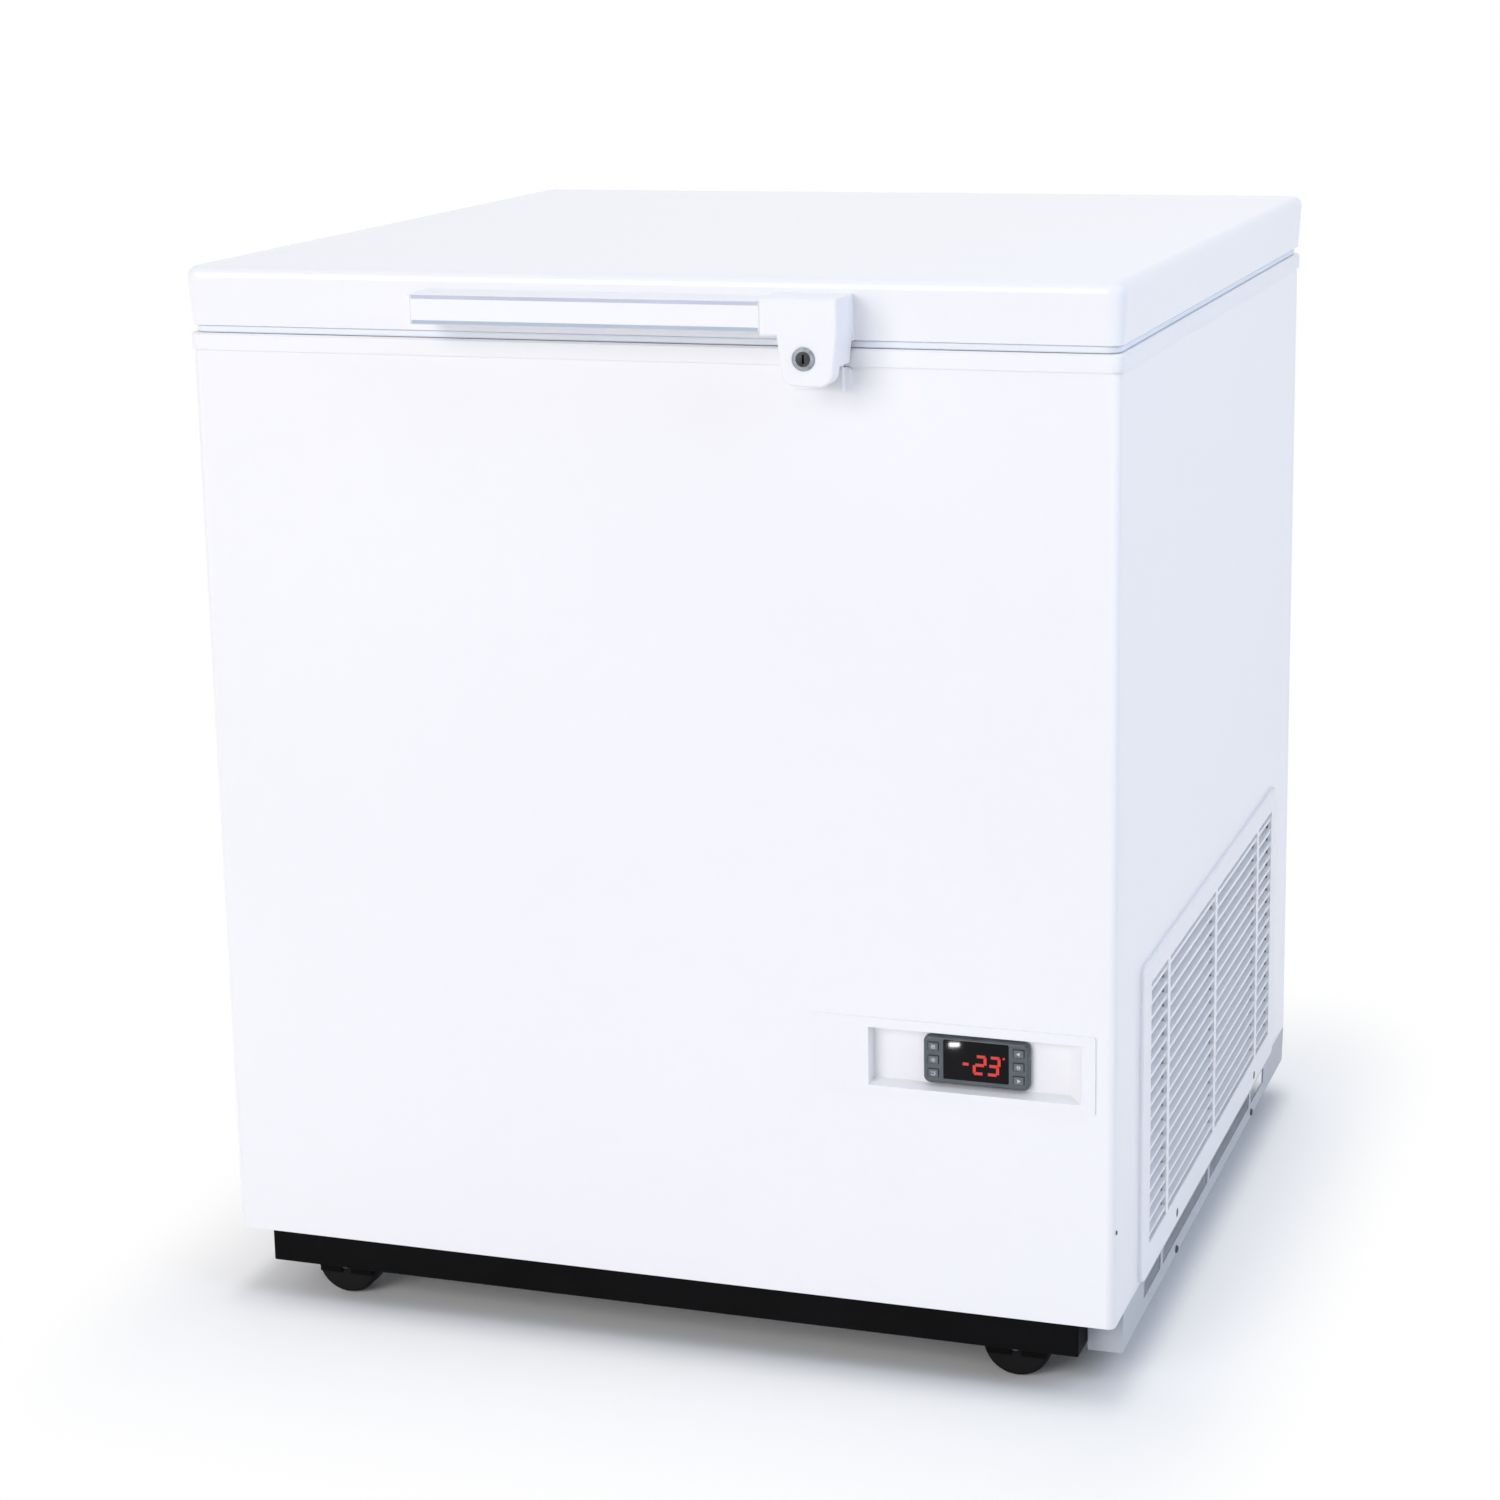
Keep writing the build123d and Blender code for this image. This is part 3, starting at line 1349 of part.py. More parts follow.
# Refrigerant lines: discharge, liquid, capillary and suction tubes between the sealed pieces
drier_y = condenser_y + drier_start
capillary_z = coil_end_z - capillary_drop
line_start_y = compressor_y - compressor_radius - stub_length
line_turn_y = line_start_y - 2 * stub_length
discharge_points = [
    (discharge_x, line_start_y, condenser_high),
    (discharge_x, line_turn_y, condenser_high),
    (pipe_x, line_turn_y, condenser_high),
    (pipe_x, condenser_y, condenser_high),
    (turn_left, condenser_y, condenser_high),
]
liquid_points = [
    (turn_left, condenser_y, condenser_low),
    (pipe_x, condenser_y, condenser_low),
    (pipe_x, drier_y, condenser_low),
]
capillary_points = [
    (pipe_x, drier_y + drier_length, condenser_low),
    (pipe_x, coil_back_y, condenser_low),
    (pipe_x, coil_back_y, capillary_z),
    (coil_x, coil_back_y, capillary_z),
    (coil_x, coil_back_y, coil_end_z),
]
with BuildPart() as refrigerant_lines:
    with BuildLine():
        discharge_path = Polyline(*bent_route(discharge_points, pipe_bend))
    with BuildSketch(facing_front(line_start_y)):
        with Locations((discharge_x, condenser_high)):
            RegularPolygon(pipe_radius, tube_side_count)
    sweep(path=discharge_path, transition=Transition.RIGHT)
    with BuildLine():
        liquid_path = Polyline(*bent_route(liquid_points, pipe_bend))
    with BuildSketch(facing_right(turn_left)):
        with Locations((condenser_y, condenser_low)):
            RegularPolygon(pipe_radius, tube_side_count)
    sweep(path=liquid_path, transition=Transition.RIGHT)
    with BuildLine():
        capillary_path = Polyline(*bent_route(capillary_points, capillary_bend))
    with BuildSketch(facing_front(drier_y + drier_length)):
        with Locations((pipe_x, condenser_low)):
            RegularPolygon(capillary_radius, tube_side_count)
    sweep(path=capillary_path, transition=Transition.RIGHT)
    with BuildSketch(level(suction_low)):
        with Locations((coil_x, coil_return_y)):
            RegularPolygon(coil_radius, tube_side_count)
    extrude(amount=coil_end_z - suction_low)
refrigerant_lines.part.label = "refrigerant_lines"
export_step(refrigerant_lines.part, "parts/refrigerant_lines.step")

# Filter drier: copper bottle with tapered ends
with BuildPart() as filter_drier:
    with BuildSketch(facing_front(drier_y + drier_length)):
        with Locations((pipe_x, condenser_low)):
            RegularPolygon(drier_radius, 2 * tube_side_count)
    extrude(amount=drier_length)
    drier_ends = filter_drier.edges().group_by(Axis.Y)
    chamfer(drier_ends[0] + drier_ends[-1], drier_radius - pipe_radius)
filter_drier.part.label = "filter_drier"
export_step(filter_drier.part, "parts/filter_drier.step")

# Fan shroud: plate behind the condenser with a round opening and an arm on two posts for the motor
shroud_hole = fan_radius + fan_tip_gap
with BuildPart() as fan_shroud:
    with BuildSketch(facing_front(shroud_y + shroud_sheet)):
        with Locations((fan_x, fan_z)):
            Rectangle(shroud_width, shroud_height)
            Circle(shroud_hole, mode=Mode.SUBTRACT)
    extrude(amount=shroud_sheet)
    with BuildSketch(facing_front(motor_y)):
        with Locations((fan_x, fan_z)):
            with GridLocations(2 * shroud_hole + shroud_post, motor_arm, 2, 1):
                Rectangle(shroud_post, motor_arm)
    extrude(amount=motor_y - shroud_y)
    with BuildSketch(facing_front(motor_y)):
        with Locations((fan_x, fan_z)):
            Rectangle(2 * (shroud_hole + shroud_post), motor_arm)
            Rectangle(2 * motor_radius, 2 * motor_radius)
            Circle(motor_shaft_radius + fit_gap, mode=Mode.SUBTRACT)
    extrude(amount=shroud_sheet)
fan_shroud.part.label = "fan_shroud"
export_step(fan_shroud.part, "parts/fan_shroud.step")

# Fan motor with its shaft pointing forward through the arm
shaft_front = fan_y - fan_hub_length / 2
with BuildPart() as fan_motor:
    with BuildSketch(facing_front(motor_y)):
        with Locations((fan_x, fan_z)):
            Circle(motor_radius)
    extrude(amount=-motor_length)
    with BuildSketch(facing_front(motor_y)):
        with Locations((fan_x, fan_z)):
            Circle(motor_shaft_radius)
    extrude(amount=motor_y - shaft_front)
fan_motor.part.label = "fan_motor"
export_step(fan_motor.part, "parts/fan_motor.step")

# Fan rotor: hub with pitched blades, running on the motor shaft
blade_length = fan_radius - fan_hub_radius / 2
fan_plane = Plane(origin=(fan_x, fan_y, fan_z), x_dir=(1, 0, 0), z_dir=(0, -1, 0))
with BuildPart(fan_plane) as fan_rotor:
    Cylinder(fan_hub_radius, fan_hub_length)
    with PolarLocations(fan_hub_radius / 2 + blade_length / 2, fan_blade_count):
        Box(blade_length, fan_blade_chord, fan_blade_sheet, rotation=(fan_blade_angle, 0, 0))
    Cylinder(motor_shaft_radius + running_gap, 2 * fan_hub_length, mode=Mode.SUBTRACT)
fan_rotor.part.label = "fan_rotor"
export_step(fan_rotor.part, "parts/fan_rotor.step")

# Cable gland in the back panel, with an open bore for the supply lead
gland_x = right_x - gland_inset
gland_z = panel_bottom + gland_rise
gland_face = back_y - sheet
with BuildPart() as cable_gland:
    with BuildSketch(facing_front(gland_face)):
        with Locations((gland_x, gland_z)):
            RegularPolygon(gland_flange_radius, 6)
    extrude(amount=-gland_flange)
    with BuildSketch(facing_front(gland_face + gland_flange)):
        with Locations((gland_x, gland_z)):
            RegularPolygon(gland_nose_radius, 6)
    extrude(amount=-gland_nose)
    with BuildSketch(facing_front(gland_face)):
        with Locations((gland_x, gland_z)):
            Circle(gland_thread_radius)
    extrude(amount=gland_thread)
    with BuildSketch(facing_front(back_inside)):
        with Locations((gland_x, gland_z)):
            RegularPolygon(gland_flange_radius, 6)
    extrude(amount=gland_flange)
    with BuildSketch(facing_front(gland_face)):
        with Locations((gland_x, gland_z)):
            Circle(gland_bore_radius)
    extrude(amount=cabinet_depth / 10, both=True, mode=Mode.SUBTRACT)
cable_gland.part.label = "cable_gland"
export_step(cable_gland.part, "parts/cable_gland.step")
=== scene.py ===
import bpy
import bmesh
import json
import math
from mathutils import Matrix, Vector


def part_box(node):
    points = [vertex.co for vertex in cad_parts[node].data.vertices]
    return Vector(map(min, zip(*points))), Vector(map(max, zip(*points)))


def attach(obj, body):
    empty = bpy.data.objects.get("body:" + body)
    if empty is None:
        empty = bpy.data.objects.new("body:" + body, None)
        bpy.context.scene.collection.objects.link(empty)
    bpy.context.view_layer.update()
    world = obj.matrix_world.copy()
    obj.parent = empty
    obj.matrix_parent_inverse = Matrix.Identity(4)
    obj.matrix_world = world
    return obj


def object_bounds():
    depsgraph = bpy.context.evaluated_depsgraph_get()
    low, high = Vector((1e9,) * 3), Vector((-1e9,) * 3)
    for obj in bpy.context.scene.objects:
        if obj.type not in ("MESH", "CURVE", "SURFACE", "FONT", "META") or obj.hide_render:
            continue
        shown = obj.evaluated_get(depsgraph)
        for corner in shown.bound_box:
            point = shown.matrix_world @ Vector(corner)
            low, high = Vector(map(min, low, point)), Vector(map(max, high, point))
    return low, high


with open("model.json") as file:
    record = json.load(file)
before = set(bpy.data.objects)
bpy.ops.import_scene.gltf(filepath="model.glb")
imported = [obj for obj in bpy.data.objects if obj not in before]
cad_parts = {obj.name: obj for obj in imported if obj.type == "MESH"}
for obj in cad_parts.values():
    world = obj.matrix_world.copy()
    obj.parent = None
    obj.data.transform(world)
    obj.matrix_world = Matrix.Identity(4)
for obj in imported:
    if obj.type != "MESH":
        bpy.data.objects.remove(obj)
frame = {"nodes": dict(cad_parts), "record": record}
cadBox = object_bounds()
nodes = frame["nodes"]
scene = bpy.context.scene
print("frame loaded:", len(nodes), "nodes")


# surface finishes: each look feeds one small node set on Object coordinates

def addNode(tree, kind, **sockets):
    node = tree.nodes.new(kind)
    for socket, value in sockets.items():
        node.inputs[socket].default_value = value
    return node


def surfaceFinish(name, look):
    material = bpy.data.materials.new(name)
    material.use_nodes = True
    tree = material.node_tree
    shader = tree.nodes["Principled BSDF"]
    place = tree.nodes.new("ShaderNodeTexCoord").outputs["Object"]
    if "stretch" in look:  # draws a brushed finish out along one axis
        mapping = tree.nodes.new("ShaderNodeMapping")
        mapping.inputs["Scale"].default_value = look["stretch"]
        tree.links.new(place, mapping.inputs["Vector"])
        place = mapping.outputs["Vector"]

    cloud = addNode(tree, "ShaderNodeTexNoise", Scale=look["cloudScale"], Detail=3.0)
    tree.links.new(place, cloud.inputs["Vector"])
    cloudOut = cloud.outputs["Fac"]
    if look.get("cells"):  # zinc spangle and foam pores follow cells, not clouds
        cells = addNode(tree, "ShaderNodeTexVoronoi", Scale=look["cells"])
        tree.links.new(place, cells.inputs["Vector"])
        cellTone = tree.nodes.new("ShaderNodeSeparateColor")
        tree.links.new(cells.outputs["Color"], cellTone.inputs["Color"])
        cloudOut = cellTone.outputs["Red"]
    tones = tree.nodes.new("ShaderNodeValToRGB")
    tones.color_ramp.elements[0].position = 0.3
    tones.color_ramp.elements[1].position = 0.7
    tones.color_ramp.elements[0].color = (*look["tone"], 1)
    tones.color_ramp.elements[1].color = (*look["toneShift"], 1)
    tree.links.new(cloudOut, tones.inputs["Fac"])
    tree.links.new(tones.outputs["Color"], shader.inputs["Base Color"])

    rough = tree.nodes.new("ShaderNodeMapRange")
    rough.inputs["To Min"].default_value = look["roughness"][0]
    rough.inputs["To Max"].default_value = look["roughness"][1]
    tree.links.new(cloudOut, rough.inputs["Value"])
    tree.links.new(rough.outputs["Result"], shader.inputs["Roughness"])

    grain = addNode(tree, "ShaderNodeTexNoise", Scale=look["grainScale"], Detail=2.0)
    tree.links.new(place, grain.inputs["Vector"])
    bump = addNode(tree, "ShaderNodeBump", Strength=look["bump"], Distance=look["bumpDepth"])
    tree.links.new(grain.outputs["Fac"], bump.inputs["Height"])
    tree.links.new(bump.outputs["Normal"], shader.inputs["Normal"])

    for socket, value in look.get("sockets", {}).items():
        shader.inputs[socket].default_value = value
    return material


finishLooks = {
    "white_enamel": {
        "tone": (0.87, 0.868, 0.892), "toneShift": (0.884, 0.882, 0.904), "cloudScale": 3.0,
        "roughness": (0.26, 0.34), "grainScale": 420.0, "bump": 0.05, "bumpDepth": 0.0004,
        "sockets": {"Coat Weight": 0.1, "Coat Roughness": 0.12},
    },
    "grey_enamel": {
        "tone": (0.44, 0.465, 0.51), "toneShift": (0.47, 0.495, 0.54), "cloudScale": 5.0,
        "roughness": (0.36, 0.46), "grainScale": 420.0, "bump": 0.06, "bumpDepth": 0.0004,
    },
    "white_plastic": {
        "tone": (0.865, 0.864, 0.885), "toneShift": (0.88, 0.879, 0.90), "cloudScale": 6.0,
        "roughness": (0.32, 0.42), "grainScale": 1500.0, "bump": 0.08, "bumpDepth": 0.0002,
    },
    "galvanised_sheet": {
        "tone": (0.545, 0.555, 0.565), "toneShift": (0.60, 0.61, 0.62), "cloudScale": 8.0, "cells": 190.0,
        "roughness": (0.36, 0.48), "grainScale": 300.0, "bump": 0.05, "bumpDepth": 0.0003,
        "sockets": {"Metallic": 0.9},
    },
    "stainless_liner": {
        "tone": (0.70, 0.71, 0.72), "toneShift": (0.80, 0.81, 0.82), "cloudScale": 5.0,
        "roughness": (0.28, 0.40), "grainScale": 150.0, "bump": 0.30, "bumpDepth": 0.0008,
        "sockets": {"Metallic": 1.0},
    },
    "polyurethane_foam": {
        "tone": (0.82, 0.73, 0.50), "toneShift": (0.90, 0.83, 0.64), "cloudScale": 9.0, "cells": 260.0,
        "roughness": (0.85, 0.95), "grainScale": 240.0, "bump": 0.5, "bumpDepth": 0.001,
    },
    "seal_rubber": {
        "tone": (0.80, 0.84, 0.90), "toneShift": (0.84, 0.88, 0.94), "cloudScale": 12.0,
        "roughness": (0.55, 0.68), "grainScale": 700.0, "bump": 0.15, "bumpDepth": 0.0003,
    },
    "black_rubber": {
        "tone": (0.018, 0.018, 0.019), "toneShift": (0.035, 0.035, 0.036), "cloudScale": 40.0,
        "roughness": (0.65, 0.8), "grainScale": 900.0, "bump": 0.25, "bumpDepth": 0.0003,
    },
    "grey_plastic": {
        "tone": (0.070, 0.083, 0.096), "toneShift": (0.090, 0.105, 0.119), "cloudScale": 60.0,
        "roughness": (0.36, 0.46), "grainScale": 2600.0, "bump": 0.12, "bumpDepth": 0.0001,
    },
    "key_plastic": {
        "tone": (0.105, 0.122, 0.138), "toneShift": (0.13, 0.148, 0.164), "cloudScale": 90.0,
        "roughness": (0.4, 0.5), "grainScale": 2600.0, "bump": 0.1, "bumpDepth": 0.0001,
    },
    "black_plastic": {
        "tone": (0.004, 0.004, 0.0045), "toneShift": (0.008, 0.008, 0.009), "cloudScale": 25.0,
        "roughness": (0.46, 0.6), "grainScale": 1100.0, "bump": 0.18, "bumpDepth": 0.0002,
        "sockets": {"Specular IOR Level": 0.12},
    },
    "window_glass": {
        "tone": (0.003, 0.003, 0.004), "toneShift": (0.006, 0.006, 0.008), "cloudScale": 40.0,
        "roughness": (0.02, 0.04), "grainScale": 60.0, "bump": 0.001, "bumpDepth": 0.0001,
        "sockets": {"Specular IOR Level": 0.12},
    },
    # black_enamel: on the base frame this black is painted shade, standing in for the deep shade under the
    # cabinet; the roller brackets are set in it too
    "black_enamel": {
        "tone": (0.002, 0.002, 0.0023), "toneShift": (0.004, 0.004, 0.0046), "cloudScale": 14.0,
        "roughness": (0.46, 0.6), "grainScale": 500.0, "bump": 0.12, "bumpDepth": 0.0003,
        "sockets": {"Specular IOR Level": 0.05},
    },
    "bright_steel": {
        "tone": (0.55, 0.56, 0.57), "toneShift": (0.70, 0.71, 0.72), "cloudScale": 45.0,
        "roughness": (0.22, 0.36), "grainScale": 800.0, "bump": 0.08, "bumpDepth": 0.0002,
        "sockets": {"Metallic": 1.0},
    },
    "lock_chrome": {
        "tone": (0.19, 0.215, 0.25), "toneShift": (0.36, 0.40, 0.46), "cloudScale": 160.0,
        "roughness": (0.16, 0.26), "grainScale": 1800.0, "bump": 0.06, "bumpDepth": 0.0001,
        "sockets": {"Metallic": 1.0},
    },
    "copper_tube": {
        "tone": (0.55, 0.25, 0.14), "toneShift": (0.78, 0.45, 0.30), "cloudScale": 16.0,
        "roughness": (0.24, 0.46), "grainScale": 400.0, "bump": 0.1, "bumpDepth": 0.0003,
        "sockets": {"Metallic": 1.0},
    },
    "fin_aluminium": {
        "tone": (0.66, 0.67, 0.68), "toneShift": (0.78, 0.79, 0.80), "cloudScale": 30.0,
        "roughness": (0.28, 0.42), "grainScale": 600.0, "bump": 0.1, "bumpDepth": 0.0002,
        "sockets": {"Metallic": 1.0}, "stretch": (1.0, 12.0, 1.0),
    },
}
finishes = {slot: surfaceFinish(slot, look) for slot, look in finishLooks.items()}
for part in frame["record"]["subparts"]:
    nodes[part["node"]].material_slots[0].material = finishes[part["material_slot"]]
darkSteel = surfaceFinish("dark_steel", {
    "tone": (0.05, 0.055, 0.06), "toneShift": (0.10, 0.105, 0.11), "cloudScale": 200.0,
    "roughness": (0.35, 0.5), "grainScale": 1500.0, "bump": 0.1, "bumpDepth": 0.0001,
    "sockets": {"Metallic": 0.8},
})
# dark steel for the grille screws; on the roller axles it also keeps their ends within the base's painted
# shade
for darkNode in ("grille_screws", "roller_axles"):
    nodes[darkNode].material_slots[0].material = darkSteel
# the lock plug is set near black: dark steel, with painted shade standing in for the shadow in its keyway
nodes["lock_plug"].material_slots[0].material = surfaceFinish("plug_steel_with_painted_keyway_shade", {
    "tone": (0.03, 0.031, 0.034), "toneShift": (0.07, 0.073, 0.08), "cloudScale": 220.0,
    "roughness": (0.25, 0.4), "grainScale": 1800.0, "bump": 0.08, "bumpDepth": 0.0001,
    "sockets": {"Metallic": 0.9},
})
print("finishes:", len(finishes))


# soft edges on the pieces that show: the frame's own mesh stays, a live bevel rounds it

softEdges = {
    "front_panel": 0.0004, "left_side_panel": 0.0004, "right_side_panel": 0.0004,
    "side_grille": 0.0006, "control_panel": 0.0006, "vent_skirt": 0.0006, "top_frame": 0.0005,
    "controller_bezel": 0.0008, "handle_bar": 0.0008, "handle_end_cap": 0.0008, "base_frame": 0.0015,
    "roller_front_left": 0.003, "roller_front_right": 0.003,
    "roller_rear_left": 0.003, "roller_rear_right": 0.003,
}
softLook = {"weldGap": 0.00001, "segments": 2, "angle": 35}


def softenEdges(node, width, look):
    weld = nodes[node].modifiers.new("joined", "WELD")
    weld.merge_threshold = look["weldGap"]
    bevel = nodes[node].modifiers.new("softEdges", "BEVEL")
    bevel.width = width
    bevel.segments = look["segments"]
    bevel.limit_method = "ANGLE"
    bevel.angle_limit = math.radians(look["angle"])
    bevel.use_clamp_overlap = True
    bevel.harden_normals = True


for softNode, softWidth in softEdges.items():
    softenEdges(softNode, softWidth, softLook)
print("soft edges:", len(softEdges))


# new pieces: each becomes an object at the origin that rides on its body

def keepPiece(name, mesh, finish, body):
    mesh.normal_update()
    data = bpy.data.meshes.new(name)
    mesh.to_mesh(data)
    mesh.free()
    piece = bpy.data.objects.new(name, data)
    scene.collection.objects.link(piece)
    data.materials.append(finish)
    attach(piece, body)


# display film: a dark sheet that laps over the bezel's opening, further at the top

displayFilm = {"thick": 0.00025, "lap": 0.0004, "rise": 0.003, "corner": 0.0008, "segments": 3}


def filmBox(look):
    low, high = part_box("display_window")
    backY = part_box("controller_bezel")[0].y
    filmLow = Vector((low.x - look["lap"], backY - look["thick"], low.z - look["lap"]))
    filmHigh = Vector((high.x + look["lap"], backY, high.z + look["rise"]))
    return filmLow, filmHigh


def makeFilm(look):
    low, high = filmBox(look)
    mesh = bmesh.new()
    made = bmesh.ops.create_cube(mesh, size=1.0)
    bmesh.ops.scale(mesh, vec=high - low, verts=made["verts"])
    corners = [edge for edge in mesh.edges if edge.verts[0].co.y * edge.verts[1].co.y < 0]
    bmesh.ops.bevel(mesh, geom=corners, offset=look["corner"], segments=look["segments"], profile=0.5,
                    affect="EDGES", material=-1)
    bmesh.ops.translate(mesh, vec=(low + high) / 2, verts=mesh.verts)
    keepPiece("display_film", mesh, finishes["window_glass"], "cabinet")


makeFilm(displayFilm)
print("display film made")


# display digits: seven bars each, standing just proud of the film

displayDigits = {
    "text": "-23", "digitHeight": 0.0134, "digitWidth": 0.0072, "bar": 0.0025, "gap": 0.0108, "slant": 0.17,
    "proud": 0.00015, "right": 0.0053, "drop": 0.0023, "degree": 0.0018, "degreeSides": 12,
    "minusShare": 0.7, "barShare": 0.92,
}
segmentBars = {  # centre x, centre z in half sizes, and whether the bar lies flat
    "a": (0, 1, True), "b": (1, 0.5, False), "c": (1, -0.5, False), "d": (0, -1, True),
    "e": (-1, -0.5, False), "f": (-1, 0.5, False), "g": (0, 0, True),
}
segmentSets = {"2": "abged", "3": "abgcd", "-": "g"}
glowLook = {
    "tone": (0.38, 0.013, 0.009), "toneShift": (0.50, 0.030, 0.020), "flickerScale": 900.0,
    "base": (0.25, 0.01, 0.008), "strength": 1.0, "roughness": 0.3,
}


def redGlow(name, look):
    material = bpy.data.materials.new(name)
    material.use_nodes = True
    tree = material.node_tree
    shader = tree.nodes["Principled BSDF"]
    place = tree.nodes.new("ShaderNodeTexCoord").outputs["Object"]
    flicker = addNode(tree, "ShaderNodeTexNoise", Scale=look["flickerScale"], Detail=1.0)
    tree.links.new(place, flicker.inputs["Vector"])
    tones = tree.nodes.new("ShaderNodeValToRGB")
    tones.color_ramp.elements[0].color = (*look["tone"], 1)
    tones.color_ramp.elements[1].color = (*look["toneShift"], 1)
    tree.links.new(flicker.outputs["Fac"], tones.inputs["Fac"])
    tree.links.new(tones.outputs["Color"], shader.inputs["Emission Color"])
    shader.inputs["Base Color"].default_value = (*look["base"], 1)
    shader.inputs["Emission Strength"].default_value = look["strength"]
    shader.inputs["Roughness"].default_value = look["roughness"]
    return material


def segmentSize(look, sign, flat):
    if sign == "-":  # the minus is a short bar
        return look["digitWidth"] * look["minusShare"], look["bar"]
    if flat:
        return look["digitWidth"], look["bar"]
    return look["bar"], look["digitHeight"] / 2


def makeDigits(look):
    low, high = filmBox(displayFilm)
    mesh = bmesh.new()
    halfWide, halfTall = look["digitWidth"] / 2, look["digitHeight"] / 2
    middleY = low.y - look["proud"] / 2
    centreZ = (low.z + high.z) / 2 - look["drop"]
    lastX = high.x - look["right"] - halfWide - look["bar"]
    for place, sign in enumerate(reversed(look["text"])):
        centreX = lastX - place * look["gap"]
        for bar in segmentSets[sign]:
            acrossX, upZ, flat = segmentBars[bar]
            wide, tall = segmentSize(look, sign, flat)
            barX, barZ = acrossX * halfWide, upZ * halfTall
            made = bmesh.ops.create_cube(mesh, size=1.0)
            size = (wide * look["barShare"], look["proud"], tall * look["barShare"])
            bmesh.ops.scale(mesh, vec=size, verts=made["verts"])
            middle = (centreX + barX + barZ * look["slant"], middleY, centreZ + barZ)
            bmesh.ops.translate(mesh, vec=middle, verts=made["verts"])
    dot = bmesh.ops.create_cone(mesh, cap_ends=True, segments=look["degreeSides"], radius1=look["degree"] / 2,
                                radius2=look["degree"] / 2, depth=look["proud"])
    bmesh.ops.rotate(mesh, matrix=Matrix.Rotation(math.pi / 2, 3, "X"), verts=dot["verts"])
    dotX = lastX + halfWide + look["slant"] * halfTall + look["bar"] / 2 + look["degree"]
    bmesh.ops.translate(mesh, vec=(dotX, middleY, centreZ + halfTall), verts=dot["verts"])
    keepPiece("display_digits", mesh, redGlow("red_segments", glowLook), "cabinet")


makeDigits(displayDigits)
print("digits made")


# key signs: small raised marks, each riding on its own key

keySigns = {"size": 0.0036, "proud": 0.00012, "bar": 0.0007}
powerSign = {"steps": 7, "start": -140, "turn": 280, "radius": 0.42, "wide": 0.8, "tall": 0.32,
             "markUp": 0.35, "markTall": 0.45}
lightSign = {"disc": 0.22, "sides": 12, "rays": 8, "radius": 0.42, "long": 0.22, "thin": 0.6}
listSign = {"pitch": 0.3, "long": 0.9, "thin": 0.8}
signFinish = surfaceFinish("sign_print", {
    "tone": (0.52, 0.54, 0.55), "toneShift": (0.62, 0.64, 0.65), "cloudScale": 300.0,
    "roughness": (0.45, 0.55), "grainScale": 2000.0, "bump": 0.05, "bumpDepth": 0.0001,
})


def signBar(mesh, x, z, wide, tall, turn=0.0):
    made = bmesh.ops.create_cube(mesh, size=1.0)
    bmesh.ops.scale(mesh, vec=(wide, keySigns["proud"], tall), verts=made["verts"])
    bmesh.ops.rotate(mesh, matrix=Matrix.Rotation(turn, 3, "Y"), verts=made["verts"])
    bmesh.ops.translate(mesh, vec=(x, 0, z), verts=made["verts"])


def signDisc(mesh, x, z, radius, sides, turn=0.0):
    made = bmesh.ops.create_cone(mesh, cap_ends=True, segments=sides, radius1=radius, radius2=radius,
                                 depth=keySigns["proud"])
    bmesh.ops.rotate(mesh, matrix=Matrix.Rotation(turn, 3, "Z"), verts=made["verts"])
    bmesh.ops.rotate(mesh, matrix=Matrix.Rotation(math.pi / 2, 3, "X"), verts=made["verts"])
    bmesh.ops.translate(mesh, vec=(x, 0, z), verts=made["verts"])


def drawPower(mesh, look, size, bar):  # a broken ring with a bar through the break
    for step in range(look["steps"]):
        angle = math.radians(look["start"] + step * look["turn"] / (look["steps"] - 1))
        x, z = math.cos(angle) * size * look["radius"], math.sin(angle) * size * look["radius"]
        signBar(mesh, x, z, bar * look["wide"], size * look["tall"], math.pi / 2 - angle)
    signBar(mesh, 0, size * look["markUp"], bar * look["wide"], size * look["markTall"])


def drawLight(mesh, look, size, bar):  # a lamp: disc with rays
    signDisc(mesh, 0, 0, size * look["disc"], look["sides"])
    for step in range(look["rays"]):
        angle = step * 2 * math.pi / look["rays"]
        x, z = math.cos(angle) * size * look["radius"], math.sin(angle) * size * look["radius"]
        signBar(mesh, x, z, size * look["long"], bar * look["thin"], -angle)


def drawSign(mesh, key):
    size, bar = keySigns["size"], keySigns["bar"]
    if key == "key_up":
        signDisc(mesh, 0, 0, size / 2, 3, math.pi / 2)
    elif key == "key_down":
        signDisc(mesh, 0, 0, size / 2, 3, -math.pi / 2)
    elif key == "key_defrost":  # three crossed bars
        for turn in range(3):
            signBar(mesh, 0, 0, size, bar, turn * math.pi / 3)
    elif key == "key_power":
        drawPower(mesh, powerSign, size, bar)
    elif key == "key_light":
        drawLight(mesh, lightSign, size, bar)
    else:  # three lines of a list
        for row in (-1, 0, 1):
            signBar(mesh, 0, row * size * listSign["pitch"], size * listSign["long"], bar * listSign["thin"])


def makeKeySign(key):
    low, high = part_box(key)
    mesh = bmesh.new()
    drawSign(mesh, key)
    middle = ((low.x + high.x) / 2, low.y - keySigns["proud"] / 2, (low.z + high.z) / 2)
    bmesh.ops.translate(mesh, vec=middle, verts=mesh.verts)
    keepPiece(key + "_sign", mesh, signFinish, key + "_cap")


for signedKey in ("key_set", "key_light", "key_power", "key_up", "key_defrost", "key_down"):
    makeKeySign(signedKey)
print("key signs made")
